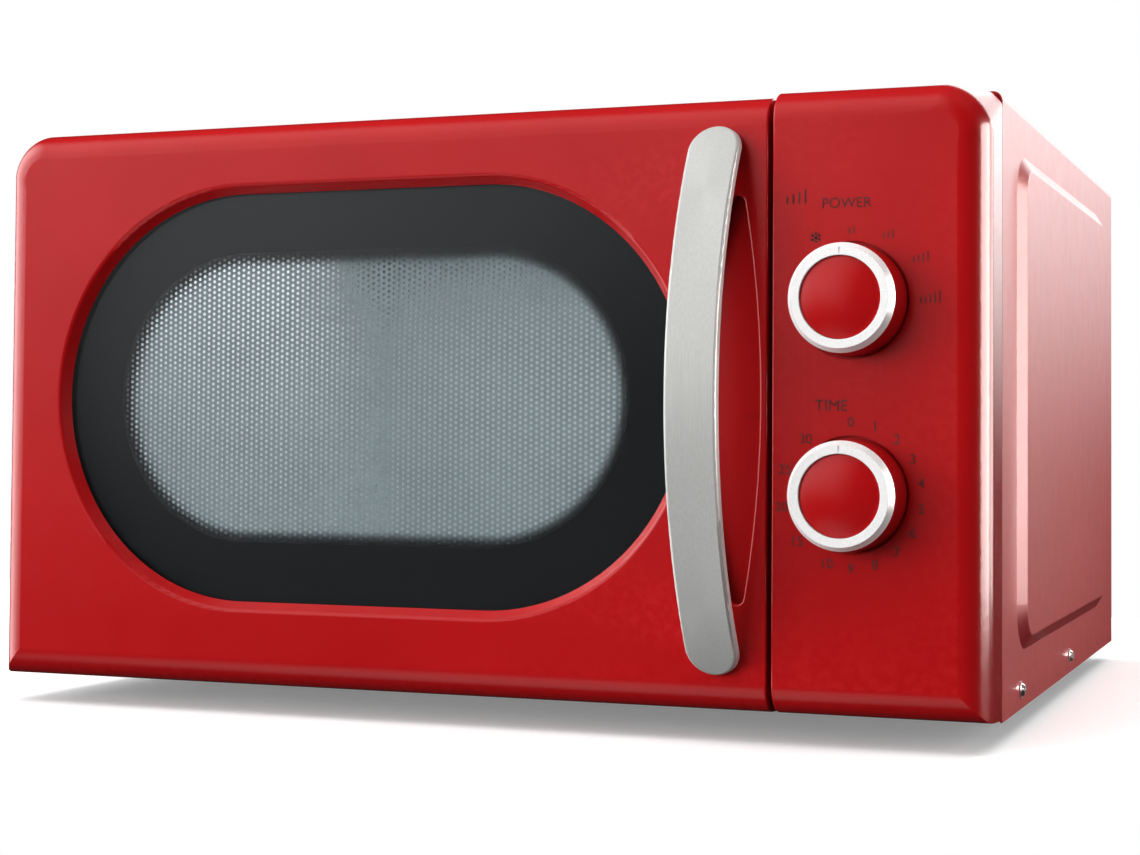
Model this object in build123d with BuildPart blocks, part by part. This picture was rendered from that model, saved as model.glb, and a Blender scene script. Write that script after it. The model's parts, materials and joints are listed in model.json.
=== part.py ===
from build123d import *
import os
from math import cos, radians, sin

# Countertop microwave oven of the 20 litre class, with a side-hinged door, two dials and a turntable.
# Millimetres. +X points to the oven's right as its user sees it, +Y to its back, +Z up.
# The origin is on the worktop, below the middle of the oven's overall box.
# Depths are measured back from the flat front face of the door and the control panel.

os.makedirs("parts", exist_ok=True)

# ---------------------------------------------------------------- driving dimensions
CABINET_WIDTH = 455.0
CABINET_HEIGHT = 251.0
CABINET_DEPTH = 367.0
FOOT_HEIGHT = 10.0
FRONT_THICKNESS = 30.0
HANDLE_REACH = 36.0
GLAND_REACH = 8.0
SHEET = 0.8
PLASTIC_WALL = 3.0
FRONT_WALL = 4.5
FIT = 0.05

FRONT_Y = (HANDLE_REACH - CABINET_DEPTH - GLAND_REACH) / 2
HALF_WIDTH = CABINET_WIDTH / 2
BOTTOM = FOOT_HEIGHT
TOP = BOTTOM + CABINET_HEIGHT

# The front is a door and a control panel, side by side with a narrow gap.
# Their outer corners are (upper, lower), and rounder at the front than at the back.
# The panel's lower back corner is nearly square, to meet the cover's bottom edge.
DOOR_RIGHT = 139.2
PANEL_LEFT = 141.2
FRONT_BOTTOM = BOTTOM + 3.3
DOOR_TOP = TOP - 1.8
FRONT_EDGE_ROUND = 12.0
CORNERS_FRONT = (27.0, 30.0)
DOOR_CORNERS_BACK = (7.0, 7.0)
PANEL_CORNERS_BACK = (7.0, 3.0)
BOTTOM_DRAFT = 2.3
POCKET_CORNERS = (24.0, 24.0)
SEAM_ROUND = 0.8

# The window is a long stadium, and the screen shows through a smaller one inside it.
WINDOW_X = -44.25
WINDOW_Z = BOTTOM + 128.7
WINDOW_SPAN = 117.5
WINDOW_RADIUS = 89.5
WINDOW_BEVEL = 3.4
GLASS_LIP = 4.8
GLASS_THICKNESS = 3.0

# The door turns on two upright pins near its left edge.
HINGE_X = -HALF_WIDTH + 9.0
HINGE_DEPTH = 14.0
HINGE_PIN_RADIUS = 2.5

HANDLE_X = 119.0
HANDLE_Z = BOTTOM + 127.3
HANDLE_WIDTH = 21.3
HANDLE_HALF = 109.5
HANDLE_SAGITTA = 33.0
HANDLE_THICKNESS = 4.0
HANDLE_POST_OFFSET = 98.0
HANDLE_POST_RISE = 5.6

DIAL_X = 173.6
POWER_Z = BOTTOM + 166.2
TIMER_Z = BOTTOM + 90.0
SHAFT_RADIUS = 3.0

# The heated cavity sits at the left, behind the door, and the machine bay at the right.
CAVITY_WIDTH = 315.0
CAVITY_HEIGHT = 200.0
CAVITY_DEPTH = 297.0
CAVITY_FLOOR = BOTTOM + 28.0
PLATE_DEPTH = 31.0
CAVITY_LEFT = WINDOW_X - CAVITY_WIDTH / 2
CAVITY_RIGHT = WINDOW_X + CAVITY_WIDTH / 2
BAY_LEFT = CAVITY_RIGHT + SHEET
REAR_DEPTH = CABINET_DEPTH - 1.5

TURNTABLE_X = WINDOW_X
TURNTABLE_DEPTH = PLATE_DEPTH + CAVITY_DEPTH / 2
table_point = (TURNTABLE_X, TURNTABLE_DEPTH)
table_centre = (TURNTABLE_X, FRONT_Y + TURNTABLE_DEPTH)
ROLLER_RADIUS = 7.0
ROLLER_TRACK = 96.5
GAP = 0.3


# ---------------------------------------------------------------- helpers
def face(depth):
    """Plane across the oven at a depth. Its x is right and its y is up; extrude back by a minus amount."""
    return Plane.XZ.offset(-(FRONT_Y + depth))


def level(z):
    """Horizontal plane at a height."""
    return Plane.XY.offset(z)


def block(xs, depths, zs, mode=Mode.ADD):
    """Box between two x values, two depths and two heights."""
    middle = ((xs[0] + xs[1]) / 2, FRONT_Y + (depths[0] + depths[1]) / 2, (zs[0] + zs[1]) / 2)
    with Locations(middle):
        Box(xs[1] - xs[0], depths[1] - depths[0], zs[1] - zs[0], mode=mode)


def around(middle, half):
    """The two ends of a span, from its middle and its half length."""
    return middle - half, middle + half


def rod_back(places, radius, depths, mode=Mode.ADD):
    """Round rods that run straight back between two depths, at each (x, z)."""
    with BuildSketch(face(depths[0])) as discs:
        with Locations(*places):
            Circle(radius)
    extrude(discs.sketch, amount=-(depths[1] - depths[0]), mode=mode)


def rod_up(places, radius, zs, mode=Mode.ADD):
    """Upright round rods between two heights, at each (x, depth)."""
    with BuildSketch(level(zs[0])) as discs:
        with Locations(*[(x, FRONT_Y + depth) for x, depth in places]):
            Circle(radius)
    extrude(discs.sketch, amount=zs[1] - zs[0], mode=mode)


def side_plane(x, depth, z, side=1):
    """Plane that faces the oven's side, with its x along the depth (mirrored on the left) and its y up."""
    return Plane(origin=(x, FRONT_Y + depth, z), x_dir=(0, side, 0), z_dir=(side, 0, 0))


def turned(centre_x, centre_depth):
    """Half plane for a profile turned about an upright axis. Its x is the radius and its y the height."""
    return Plane(origin=(centre_x, FRONT_Y + centre_depth, 0), x_dir=(1, 0, 0), z_dir=(0, -1, 0))


def upright(centre_x, centre_depth):
    """Upright axis at an x and a depth."""
    return Axis((centre_x, FRONT_Y + centre_depth, 0), (0, 0, 1))


def dial_plane(z):
    """Half plane for a dial's profile. Its x is the radius and its y the height in front of the face."""
    return Plane(origin=(DIAL_X, FRONT_Y, z), x_dir=(1, 0, 0), z_dir=(0, 0, -1))


def dial_axis(z):
    """Axis of a dial, out of the front."""
    return Axis((DIAL_X, FRONT_Y, z), (0, -1, 0))


def front_outline(width, height, centre, radii, outer_side, drop=0.0):
    """Outline with (upper, lower) round corners on its outer side, 1 for right and -1 for left."""
    upper, lower = radii
    with Locations((centre[0], centre[1] - drop / 2)):
        outline = Rectangle(width, height + drop)
    outer = outline.vertices().group_by(Axis.X)[-1 if outer_side > 0 else 0]
    by_height = outer.sort_by(Axis.Y)
    fillet(by_height[1], upper)
    fillet(by_height[0], lower)


def front_stages(corners_back):
    """Depth, corner radii and drop of a front moulding's two ends."""
    return (0, CORNERS_FRONT, 0), (FRONT_THICKNESS, corners_back, BOTTOM_DRAFT)


# ---------------------------------------------------------------- cabinet
COVER_CORNER = 4.0
COVER_FRONT = FRONT_THICKNESS + 0.5
PAD_DEPTHS = (63.5, 323.0)
PAD_ZS = (BOTTOM + 24.0, BOTTOM + 231.0)
PAD_RISE = 3.5
PAD_SLOPE = 6.0
PAD_CORNER = 20.0
PAD_EDGE = 2.0
pad_length = PAD_DEPTHS[1] - PAD_DEPTHS[0]
pad_height = PAD_ZS[1] - PAD_ZS[0]
pad_middle = (sum(PAD_DEPTHS) / 2, sum(PAD_ZS) / 2)
SCREW_Z = BOTTOM + 8.0
SCREW_DEPTHS = (73.6, 209.3)
SCREW_HOLE = 2.1


def side_pad(side, inset, mode):
    """Raised rectangle of the cover's side, as its outer shape or the hollow behind it."""
    base = side_plane(side * (HALF_WIDTH - inset), *pad_middle, side)
    with BuildSketch(base) as foot:
        RectangleRounded(pad_length, pad_height, PAD_CORNER)
    with BuildSketch(base.offset(PAD_RISE)) as top:
        RectangleRounded(pad_length - 2 * PAD_SLOPE, pad_height - 2 * PAD_SLOPE, PAD_CORNER - PAD_SLOPE)
    loft([foot.sketch, top.sketch], ruled=True, mode=mode)


with BuildPart() as cabinet_wrap:
    with BuildSketch(face(COVER_FRONT)):
        with Locations((0, BOTTOM + CABINET_HEIGHT / 2)):
            shell = Rectangle(CABINET_WIDTH, CABINET_HEIGHT)
        fillet(shell.vertices().group_by(Axis.Y)[-1], COVER_CORNER)
    extrude(amount=-(CABINET_DEPTH - COVER_FRONT))
    side_pad(1, 0, Mode.ADD)
    side_pad(-1, 0, Mode.ADD)
    fillet(cabinet_wrap.faces().sort_by(Axis.X)[-1].edges(), PAD_EDGE)
    fillet(cabinet_wrap.faces().sort_by(Axis.X)[0].edges(), PAD_EDGE)
    with BuildSketch(face(COVER_FRONT)):
        with Locations((0, BOTTOM + (CABINET_HEIGHT - SHEET) / 2)):
            hollow = Rectangle(CABINET_WIDTH - 2 * SHEET, CABINET_HEIGHT - SHEET)
        fillet(hollow.vertices().group_by(Axis.Y)[-1], COVER_CORNER - SHEET)
    extrude(amount=-(CABINET_DEPTH - COVER_FRONT), mode=Mode.SUBTRACT)
    side_pad(1, SHEET, Mode.SUBTRACT)
    side_pad(-1, SHEET, Mode.SUBTRACT)
    for depth in SCREW_DEPTHS:
        with BuildSketch(side_plane(-HALF_WIDTH, depth, SCREW_Z)):
            Circle(SCREW_HOLE)
        extrude(amount=CABINET_WIDTH, mode=Mode.SUBTRACT)
cabinet_wrap.part.label = "cabinet_wrap"
export_step(cabinet_wrap.part, "parts/cabinet_wrap.step")

BASE_HALF = HALF_WIDTH - SHEET - 0.2
BASE_FLANGE = 16.0
BASE_DEPTHS = (33.0, REAR_DEPTH - 0.5)
FOOT_PLACES = [(x, depth) for x in (-180.0, 180.0) for depth in (107.0, 325.0)]
FOOT_PIN = 3.0
MOTOR_DOOR = 62.0
KNOCKOUT_SLOT = 1.6
KNOCKOUT_TAB = 8.0
BASE_VENT_PLACE = (170.0, FRONT_Y + 195.0)
BASE_VENT_STEP = (28.0, 8.0)
BASE_VENT_SLOT = (22.0, 3.0)
with BuildPart() as base_plate:
    block((-BASE_HALF, BASE_HALF), BASE_DEPTHS, (BOTTOM, BOTTOM + BASE_FLANGE))
    inner = BASE_HALF - SHEET
    block((-inner, inner), BASE_DEPTHS, (BOTTOM + SHEET, BOTTOM + BASE_FLANGE), Mode.SUBTRACT)
    with BuildSketch(level(BOTTOM)):
        with Locations(*[(x, FRONT_Y + depth) for x, depth in FOOT_PLACES]):
            Circle(FOOT_PIN + FIT)
        # Slots round a square plate that is broken out to reach the turntable motor.
        with Locations(table_centre):
            with GridLocations(MOTOR_DOOR, 1, 2, 1):
                SlotOverall(MOTOR_DOOR - KNOCKOUT_TAB, KNOCKOUT_SLOT, rotation=90)
            with GridLocations(1, MOTOR_DOOR, 1, 2):
                SlotOverall(MOTOR_DOOR - KNOCKOUT_TAB, KNOCKOUT_SLOT)
        with Locations(BASE_VENT_PLACE):
            with GridLocations(*BASE_VENT_STEP, 3, 4):
                SlotOverall(*BASE_VENT_SLOT)
    extrude(amount=SHEET, mode=Mode.SUBTRACT)
    for depth in SCREW_DEPTHS:
        with BuildSketch(side_plane(-BASE_HALF, depth, SCREW_Z)):
            Circle(SCREW_HOLE)
        extrude(amount=2 * BASE_HALF, mode=Mode.SUBTRACT)
base_plate.part.label = "base_plate"
export_step(base_plate.part, "parts/base_plate.step")

FAN_X = 172.0
FAN_Z = BOTTOM + 165.0
FAN_RADIUS = 46.0
GLAND_X = 196.0
GLAND_Z = BOTTOM + 42.0
GLAND_BORE = 3.6
GLAND_BODY = 7.5
REAR_INSET = 1.9
FAN_GRILLE_PITCH = 4.6
FAN_GRILLE_HOLE = 2.6
REAR_VENT_PLACE = (-110.0, BOTTOM + 195.0)
REAR_VENT_STEP = (9.0, 34.0)
REAR_VENT_SLOT = (26.0, 3.4)
with BuildPart() as rear_panel:
    block(
        (-HALF_WIDTH + REAR_INSET, HALF_WIDTH - REAR_INSET),
        (REAR_DEPTH, REAR_DEPTH + SHEET),
        (BOTTOM, TOP - REAR_INSET),
    )
    with BuildSketch(face(REAR_DEPTH)):
        with Locations((FAN_X, FAN_Z)):
            with HexLocations(FAN_GRILLE_PITCH, 9, 9):
                Circle(FAN_GRILLE_HOLE)
        with Locations(REAR_VENT_PLACE):
            with GridLocations(*REAR_VENT_STEP, 14, 2):
                SlotOverall(*REAR_VENT_SLOT, rotation=90)
        with Locations((GLAND_X, GLAND_Z)):
            Circle(GLAND_BODY + FIT)
    extrude(amount=-SHEET, mode=Mode.SUBTRACT)
rear_panel.part.label = "rear_panel"
export_step(rear_panel.part, "parts/rear_panel.step")

GLAND_LENGTH = 16.0
GLAND_COLLAR = 3.0
GLAND_DEPTHS = (CABINET_DEPTH + GLAND_REACH - GLAND_LENGTH, CABINET_DEPTH + GLAND_REACH)
with BuildPart() as cord_gland:
    place = [(GLAND_X, GLAND_Z)]
    rod_back(place, GLAND_BODY, GLAND_DEPTHS)
    rod_back(place, GLAND_BODY + 2.5, (REAR_DEPTH + SHEET, REAR_DEPTH + SHEET + GLAND_COLLAR))
    rod_back(place, GLAND_BODY + 2.0, (REAR_DEPTH - GLAND_COLLAR, REAR_DEPTH))
    rod_back(place, GLAND_BORE, GLAND_DEPTHS, Mode.SUBTRACT)
cord_gland.part.label = "cord_gland"
export_step(cord_gland.part, "parts/cord_gland.step")

FOOT_RADIUS = 11.0
FOOT_BEVEL = 1.0
FOOT_PIN_RISE = 6.0
with BuildPart() as feet:
    for x, depth in FOOT_PLACES:
        with BuildSketch(turned(x, depth)):
            with BuildLine():
                Polyline(
                    (0, 0),
                    (FOOT_RADIUS - 2 * FOOT_BEVEL, 0),
                    (FOOT_RADIUS - FOOT_BEVEL, FOOT_BEVEL),
                    (FOOT_RADIUS, FOOT_HEIGHT),
                    (FOOT_PIN, FOOT_HEIGHT),
                    (FOOT_PIN, FOOT_HEIGHT + FOOT_PIN_RISE),
                    (0, FOOT_HEIGHT + FOOT_PIN_RISE + 1),
                    close=True,
                )
            make_face()
        revolve(axis=upright(x, depth))
feet.part.label = "feet"
export_step(feet.part, "parts/feet.step")

SCREW_HEAD = 3.5
SCREW_WASHER = 0.5
SCREW_RISE = 1.3
SCREW_LENGTH = 10.0
SCREW_CROSS = (0.8, 3.0)
with BuildPart() as cabinet_screws:
    for side in (-1, 1):
        for depth in SCREW_DEPTHS:
            seat = side_plane(side * HALF_WIDTH, depth, SCREW_Z, side)
            with BuildSketch(seat.offset(-SCREW_LENGTH)):
                Circle(SCREW_HOLE - 0.1)
            extrude(amount=SCREW_LENGTH)
            with BuildSketch(seat):
                Circle(SCREW_HEAD)
            extrude(amount=SCREW_WASHER)
            with BuildSketch(seat.offset(SCREW_WASHER)):
                Circle(SCREW_HEAD - 0.7)
            extrude(amount=SCREW_RISE, taper=32)
            with BuildSketch(seat.offset(SCREW_WASHER + SCREW_RISE)):
                Rectangle(*SCREW_CROSS)
                Rectangle(*SCREW_CROSS, rotation=90)
            extrude(amount=-1.0, mode=Mode.SUBTRACT)
cabinet_screws.part.label = "cabinet_screws"
export_step(cabinet_screws.part, "parts/cabinet_screws.step")

# ---------------------------------------------------------------- cavity
CAVITY_CORNER = 12.0
LATCH_X = 131.3
LATCH_ZS = (BOTTOM + 56.0, BOTTOM + 197.0)
TIMER_WINDOW = ((147.0, 214.0), (BOTTOM + 30.0, BOTTOM + 232.0))
WAVE_DEPTHS = (150.0, 240.0)
WAVE_ZS = (BOTTOM + 125.0, BOTTOM + 225.0)
APERTURE = (72.0, 40.0)
LAMP_DEPTH = 98.0
LAMP_Z = BOTTOM + 205.0
ARM_HALF = 4.0
ARM_THICKNESS = 2.5
ARM_ZS = (BOTTOM + 226.5, BOTTOM + 16.0)
cavity_middle = (WINDOW_X, CAVITY_FLOOR + CAVITY_HEIGHT / 2)
wave_middle = (sum(WAVE_DEPTHS) / 2, sum(WAVE_ZS) / 2)
SHAFT_HOLE = 6.0
FRONT_PLATE_INSET = 2.0
FRONT_PLATE_CORNER = 8.0
LATCH_SLOT_XS = (126.3, 138.4)
ARM_SLACK = 0.5
LAMP_HOLES = (5.0, 1.6)
AIR_HOLES = (5.5, 1.7)
AIR_HOLES_PLACE = (255.0, BOTTOM + 190.0)
with BuildPart() as oven_cavity:
    with BuildSketch(face(PLATE_DEPTH)):
        with Locations(cavity_middle):
            RectangleRounded(CAVITY_WIDTH + 2 * SHEET, CAVITY_HEIGHT + 2 * SHEET, CAVITY_CORNER + SHEET)
    extrude(amount=-(CAVITY_DEPTH + SHEET))
    with BuildSketch(face(PLATE_DEPTH)):
        with Locations((0, BOTTOM + CABINET_HEIGHT / 2)):
            sheet_size = (CABINET_WIDTH - 2 * FRONT_PLATE_INSET, CABINET_HEIGHT - 2 * FRONT_PLATE_INSET)
            RectangleRounded(*sheet_size, FRONT_PLATE_CORNER)
    extrude(amount=-SHEET)
    with BuildSketch(face(PLATE_DEPTH)):
        with Locations(cavity_middle):
            RectangleRounded(CAVITY_WIDTH, CAVITY_HEIGHT, CAVITY_CORNER)
    extrude(amount=-CAVITY_DEPTH, mode=Mode.SUBTRACT)
    block(TIMER_WINDOW[0], (PLATE_DEPTH, PLATE_DEPTH + SHEET), TIMER_WINDOW[1], Mode.SUBTRACT)
    for z in LATCH_ZS:
        block(LATCH_SLOT_XS, (PLATE_DEPTH, PLATE_DEPTH + SHEET), (z - 10, z + 11), Mode.SUBTRACT)
    for z in ARM_ZS:
        slot = (z - ARM_SLACK, z + ARM_THICKNESS + ARM_SLACK)
        sides = (HINGE_X - ARM_HALF - ARM_SLACK, HINGE_X + ARM_HALF + ARM_SLACK)
        block(sides, (PLATE_DEPTH, PLATE_DEPTH + SHEET), slot, Mode.SUBTRACT)
    with BuildSketch(side_plane(CAVITY_RIGHT, *wave_middle)):
        Rectangle(*APERTURE)
    extrude(amount=SHEET, mode=Mode.SUBTRACT)
    with BuildSketch(side_plane(CAVITY_RIGHT, LAMP_DEPTH, LAMP_Z)):
        with GridLocations(LAMP_HOLES[0], LAMP_HOLES[0], 6, 4):
            Circle(LAMP_HOLES[1])
    extrude(amount=SHEET, mode=Mode.SUBTRACT)
    with BuildSketch(side_plane(CAVITY_LEFT, *AIR_HOLES_PLACE, -1)):
        with GridLocations(AIR_HOLES[0], AIR_HOLES[0], 12, 5):
            Circle(AIR_HOLES[1])
    extrude(amount=SHEET, mode=Mode.SUBTRACT)
    rod_up([table_point], SHAFT_HOLE + 6, (CAVITY_FLOOR, CAVITY_FLOOR + 1.5))
    rod_up([table_point], SHAFT_HOLE, (CAVITY_FLOOR - 2, CAVITY_FLOOR + 2), Mode.SUBTRACT)
oven_cavity.part.label = "oven_cavity"
export_step(oven_cavity.part, "parts/oven_cavity.step")

MICA_MARGIN = 8.0
MICA_THICKNESS = 0.7
with BuildPart() as waveguide_cover:
    with BuildSketch(side_plane(CAVITY_RIGHT - MICA_THICKNESS, *wave_middle)):
        RectangleRounded(APERTURE[0] + 2 * MICA_MARGIN, APERTURE[1] + 2 * MICA_MARGIN, 4)
    extrude(amount=MICA_THICKNESS)
waveguide_cover.part.label = "waveguide_cover"
export_step(waveguide_cover.part, "parts/waveguide_cover.step")

WAVE_XS = (BAY_LEFT, 142.0)
ANTENNA_RADIUS = 7.5
with BuildPart() as waveguide:
    block(WAVE_XS, WAVE_DEPTHS, WAVE_ZS)
    block(
        (WAVE_XS[0], WAVE_XS[1] - SHEET),
        (WAVE_DEPTHS[0] + SHEET, WAVE_DEPTHS[1] - SHEET),
        (WAVE_ZS[0] + SHEET, WAVE_ZS[1] - SHEET),
        Mode.SUBTRACT,
    )
    with BuildSketch(side_plane(WAVE_XS[1], *wave_middle)):
        Circle(ANTENNA_RADIUS + 3)
    extrude(amount=-SHEET, mode=Mode.SUBTRACT)
waveguide.part.label = "waveguide"
export_step(waveguide.part, "parts/waveguide.step")

# ---------------------------------------------------------------- magnetron and its supply
MAGNETRON_X = WAVE_XS[1]
YOKE_XS = (MAGNETRON_X + 2.0, MAGNETRON_X + 48.0)
YOKE_HALF = (33.0, 30.0)
ANODE_RADIUS = 20.0
FIN_COUNT = 7
FIN_PITCH = 5.0
FIN_SHEET = 0.6
FLANGE_SIZE = (88.0, 76.0)
FLANGE_SHEET = 2.0
YOKE_SHEET = 1.5
ANTENNA_LENGTH = 18.0
FILTER_BOX = (58.0, 50.0)
FILTER_REACH = 30.0
SOCKET_SIZE = (18.0, 26.0)
SOCKET_REACH = 9.0
SPADE = (6.3, 0.8)
SPADE_REACH = 8.0
with BuildPart() as magnetron:
    with BuildSketch(side_plane(MAGNETRON_X, *wave_middle)):
        RectangleRounded(*FLANGE_SIZE, 4)
    extrude(amount=FLANGE_SHEET)
    middle_depth, middle_z = wave_middle
    outer_depths = (middle_depth - YOKE_HALF[0], middle_depth + YOKE_HALF[0])
    block(YOKE_XS, outer_depths, (middle_z - YOKE_HALF[1], middle_z + YOKE_HALF[1]))
    block(
        (YOKE_XS[0] + YOKE_SHEET, YOKE_XS[1] - YOKE_SHEET),
        outer_depths,
        (middle_z - YOKE_HALF[1] + YOKE_SHEET, middle_z + YOKE_HALF[1] - YOKE_SHEET),
        Mode.SUBTRACT,
    )
    with BuildSketch(side_plane(YOKE_XS[0], *wave_middle)):
        Circle(ANODE_RADIUS)
    extrude(amount=YOKE_XS[1] - YOKE_XS[0])
    with BuildSketch(side_plane(MAGNETRON_X - ANTENNA_LENGTH, *wave_middle)):
        Circle(ANTENNA_RADIUS)
    extrude(amount=ANTENNA_LENGTH)
    fillet(magnetron.faces().sort_by(Axis.X)[0].edges(), 2.5)
    # The filter box on the outer face, with its socket and two tabs.
    with BuildSketch(side_plane(YOKE_XS[1], *wave_middle)):
        RectangleRounded(*FILTER_BOX, 3)
    extrude(amount=FILTER_REACH)
    socket_depth = middle_depth - FILTER_BOX[0] / 2
    socket_x = YOKE_XS[1] + FILTER_REACH / 2
    with BuildSketch(face(socket_depth)):
        with Locations((socket_x, middle_z)):
            RectangleRounded(*SOCKET_SIZE, 2)
    extrude(amount=SOCKET_REACH)
    with BuildSketch(face(socket_depth - SOCKET_REACH)):
        with Locations((socket_x, middle_z)):
            with GridLocations(1, SOCKET_SIZE[1] / 2, 1, 2):
                Rectangle(*SPADE)
    extrude(amount=SPADE_REACH)
magnetron.part.label = "magnetron"
export_step(magnetron.part, "parts/magnetron.step")

with BuildPart() as cooling_fins:
    for index in range(FIN_COUNT):
        offset_x = YOKE_XS[0] + 8.0 + index * FIN_PITCH
        with BuildSketch(side_plane(offset_x, *wave_middle)):
            Rectangle(2 * YOKE_HALF[0] - 6, 2 * YOKE_HALF[1] - 4)
            Circle(ANODE_RADIUS + 0.2, mode=Mode.SUBTRACT)
        extrude(amount=FIN_SHEET)
cooling_fins.part.label = "cooling_fins"
export_step(cooling_fins.part, "parts/cooling_fins.step")

CORE_X = 171.0
CORE_DEPTH = 175.0
CORE_SIZE = (62.0, 86.0, 71.0)
LIMB = 28.0
CORE_WINDOW = (14.0, 43.0)
CORE_BASE = BOTTOM + SHEET
CORE_PLATE = 2.0
CORE_PLATE_MARGIN = (6.0, 24.0)
CORE_HOLE = 2.5
CORE_HOLE_STEP = 40.0
core_middle_z = CORE_BASE + CORE_PLATE + CORE_SIZE[2] / 2
with BuildPart() as transformer_core:
    with Locations((CORE_X, FRONT_Y + CORE_DEPTH, core_middle_z)):
        Box(*CORE_SIZE)
    with BuildSketch(side_plane(CORE_X - CORE_SIZE[0] / 2, CORE_DEPTH, core_middle_z)):
        with GridLocations(LIMB + CORE_WINDOW[0], 1, 2, 1):
            Rectangle(*CORE_WINDOW)
    extrude(amount=CORE_SIZE[0], mode=Mode.SUBTRACT)
    with BuildSketch(level(CORE_BASE)):
        with Locations((CORE_X, FRONT_Y + CORE_DEPTH)):
            RectangleRounded(CORE_SIZE[0] + CORE_PLATE_MARGIN[0], CORE_SIZE[1] + CORE_PLATE_MARGIN[1], 4)
            with GridLocations(CORE_HOLE_STEP, CORE_SIZE[1] + CORE_PLATE_MARGIN[1] / 2, 2, 2):
                Circle(CORE_HOLE, mode=Mode.SUBTRACT)
    extrude(amount=CORE_PLATE)
transformer_core.part.label = "transformer_core"
export_step(transformer_core.part, "parts/transformer_core.step")

COIL_HEIGHT = 20.0
COIL_BUILD = 13.0
with BuildPart() as transformer_windings:
    for bottom in (-COIL_HEIGHT - 0.5, 0.5):
        with BuildSketch(level(core_middle_z + bottom)):
            with Locations((CORE_X, FRONT_Y + CORE_DEPTH)):
                RectangleRounded(CORE_SIZE[0] + 2 * COIL_BUILD, LIMB + 2 * COIL_BUILD + 1, COIL_BUILD)
                Rectangle(CORE_SIZE[0] + 0.6, LIMB + 0.6, mode=Mode.SUBTRACT)
        extrude(amount=COIL_HEIGHT)
transformer_windings.part.label = "transformer_windings"
export_step(transformer_windings.part, "parts/transformer_windings.step")

CAN_SIZE = (52.0, 33.0)
CAN_XS = (126.0, 212.0)
CAN_DEPTH = 268.0
CAN_TAB_STEP = 22.0
CLAMP_SHEET = 1.2
CAN_Z = BOTTOM + SHEET + CLAMP_SHEET + CAN_SIZE[1] / 2
with BuildPart() as capacitor:
    with BuildSketch(side_plane(CAN_XS[0], CAN_DEPTH, CAN_Z)):
        SlotOverall(*CAN_SIZE)
    extrude(amount=CAN_XS[1] - CAN_XS[0])
    fillet(capacitor.faces().sort_by(Axis.X)[0].edges(), 2)
    with BuildSketch(side_plane(CAN_XS[1], CAN_DEPTH, CAN_Z)):
        with GridLocations(CAN_TAB_STEP, 1, 2, 1):
            Rectangle(*SPADE)
    extrude(amount=SPADE_REACH)
capacitor.part.label = "capacitor"
export_step(capacitor.part, "parts/capacitor.step")

CLAMP_XS = (160.0, 175.0)
CLAMP_FOOT = (22.0, 1.6)
with BuildPart() as capacitor_clamp:
    with BuildSketch(side_plane(CLAMP_XS[0], CAN_DEPTH, CAN_Z)):
        SlotOverall(CAN_SIZE[0] + 2 * CLAMP_SHEET, CAN_SIZE[1] + 2 * CLAMP_SHEET)
        with Locations((CAN_SIZE[0] / 2 + 6, -CAN_SIZE[1] / 2 - 0.4)):
            Rectangle(*CLAMP_FOOT)
        SlotOverall(CAN_SIZE[0] + 0.4, CAN_SIZE[1] + 0.4, mode=Mode.SUBTRACT)
    extrude(amount=CLAMP_XS[1] - CLAMP_XS[0])
capacitor_clamp.part.label = "capacitor_clamp"
export_step(capacitor_clamp.part, "parts/capacitor_clamp.step")

DIODE_X = 150.0
DIODE_PLACE = (222.0, BOTTOM + 24.0)
DIODE_ROUNDS = ((3.5, 20.0), (0.8, 44.0))
with BuildPart() as high_voltage_diode:
    for radius, length in DIODE_ROUNDS:
        with BuildSketch(side_plane(DIODE_X - length / 2, *DIODE_PLACE)):
            Circle(radius)
        extrude(amount=length)
high_voltage_diode.part.label = "high_voltage_diode"
export_step(high_voltage_diode.part, "parts/high_voltage_diode.step")

BOARD_Z = BOTTOM + 233.0
BOARD_DEPTHS = (258.0, 322.0)
BOARD_XS = (126.0, 216.0)
BOARD_SHEET = 1.6
BOARD_EDGE = 6.0
BOARD_HOLE = 1.6
FUSE_RADIUS = 3.0
FUSE_DEPTHS = (272.0, 302.0)
board_parts = {
    "film_capacitor": ((150.0, 176.0), (266.0, 282.0), 14.0),
    "choke": ((184.0, 208.0), (268.0, 290.0), 18.0),
    "fuse_clip": ((134.0, 144.0), (270.0, 304.0), 3.0),
}
with BuildPart() as filter_board:
    board_zs = (BOARD_Z, BOARD_Z + BOARD_SHEET)
    block(BOARD_XS, BOARD_DEPTHS, board_zs)
    for x in (BOARD_XS[0] + BOARD_EDGE, BOARD_XS[1] - BOARD_EDGE):
        for depth in (BOARD_DEPTHS[0] + BOARD_EDGE, BOARD_DEPTHS[1] - BOARD_EDGE):
            rod_up([(x, depth)], BOARD_HOLE, board_zs, Mode.SUBTRACT)
    for xs, depths, hang in board_parts.values():
        block(xs, depths, (BOARD_Z - hang, BOARD_Z))
    fuse_clip_xs, _, fuse_clip_hang = board_parts["fuse_clip"]
    fuse_place = (sum(fuse_clip_xs) / 2, BOARD_Z - fuse_clip_hang - FUSE_RADIUS + 0.5)
    rod_back([fuse_place], FUSE_RADIUS, FUSE_DEPTHS)
filter_board.part.label = "filter_board"
export_step(filter_board.part, "parts/filter_board.step")

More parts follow.
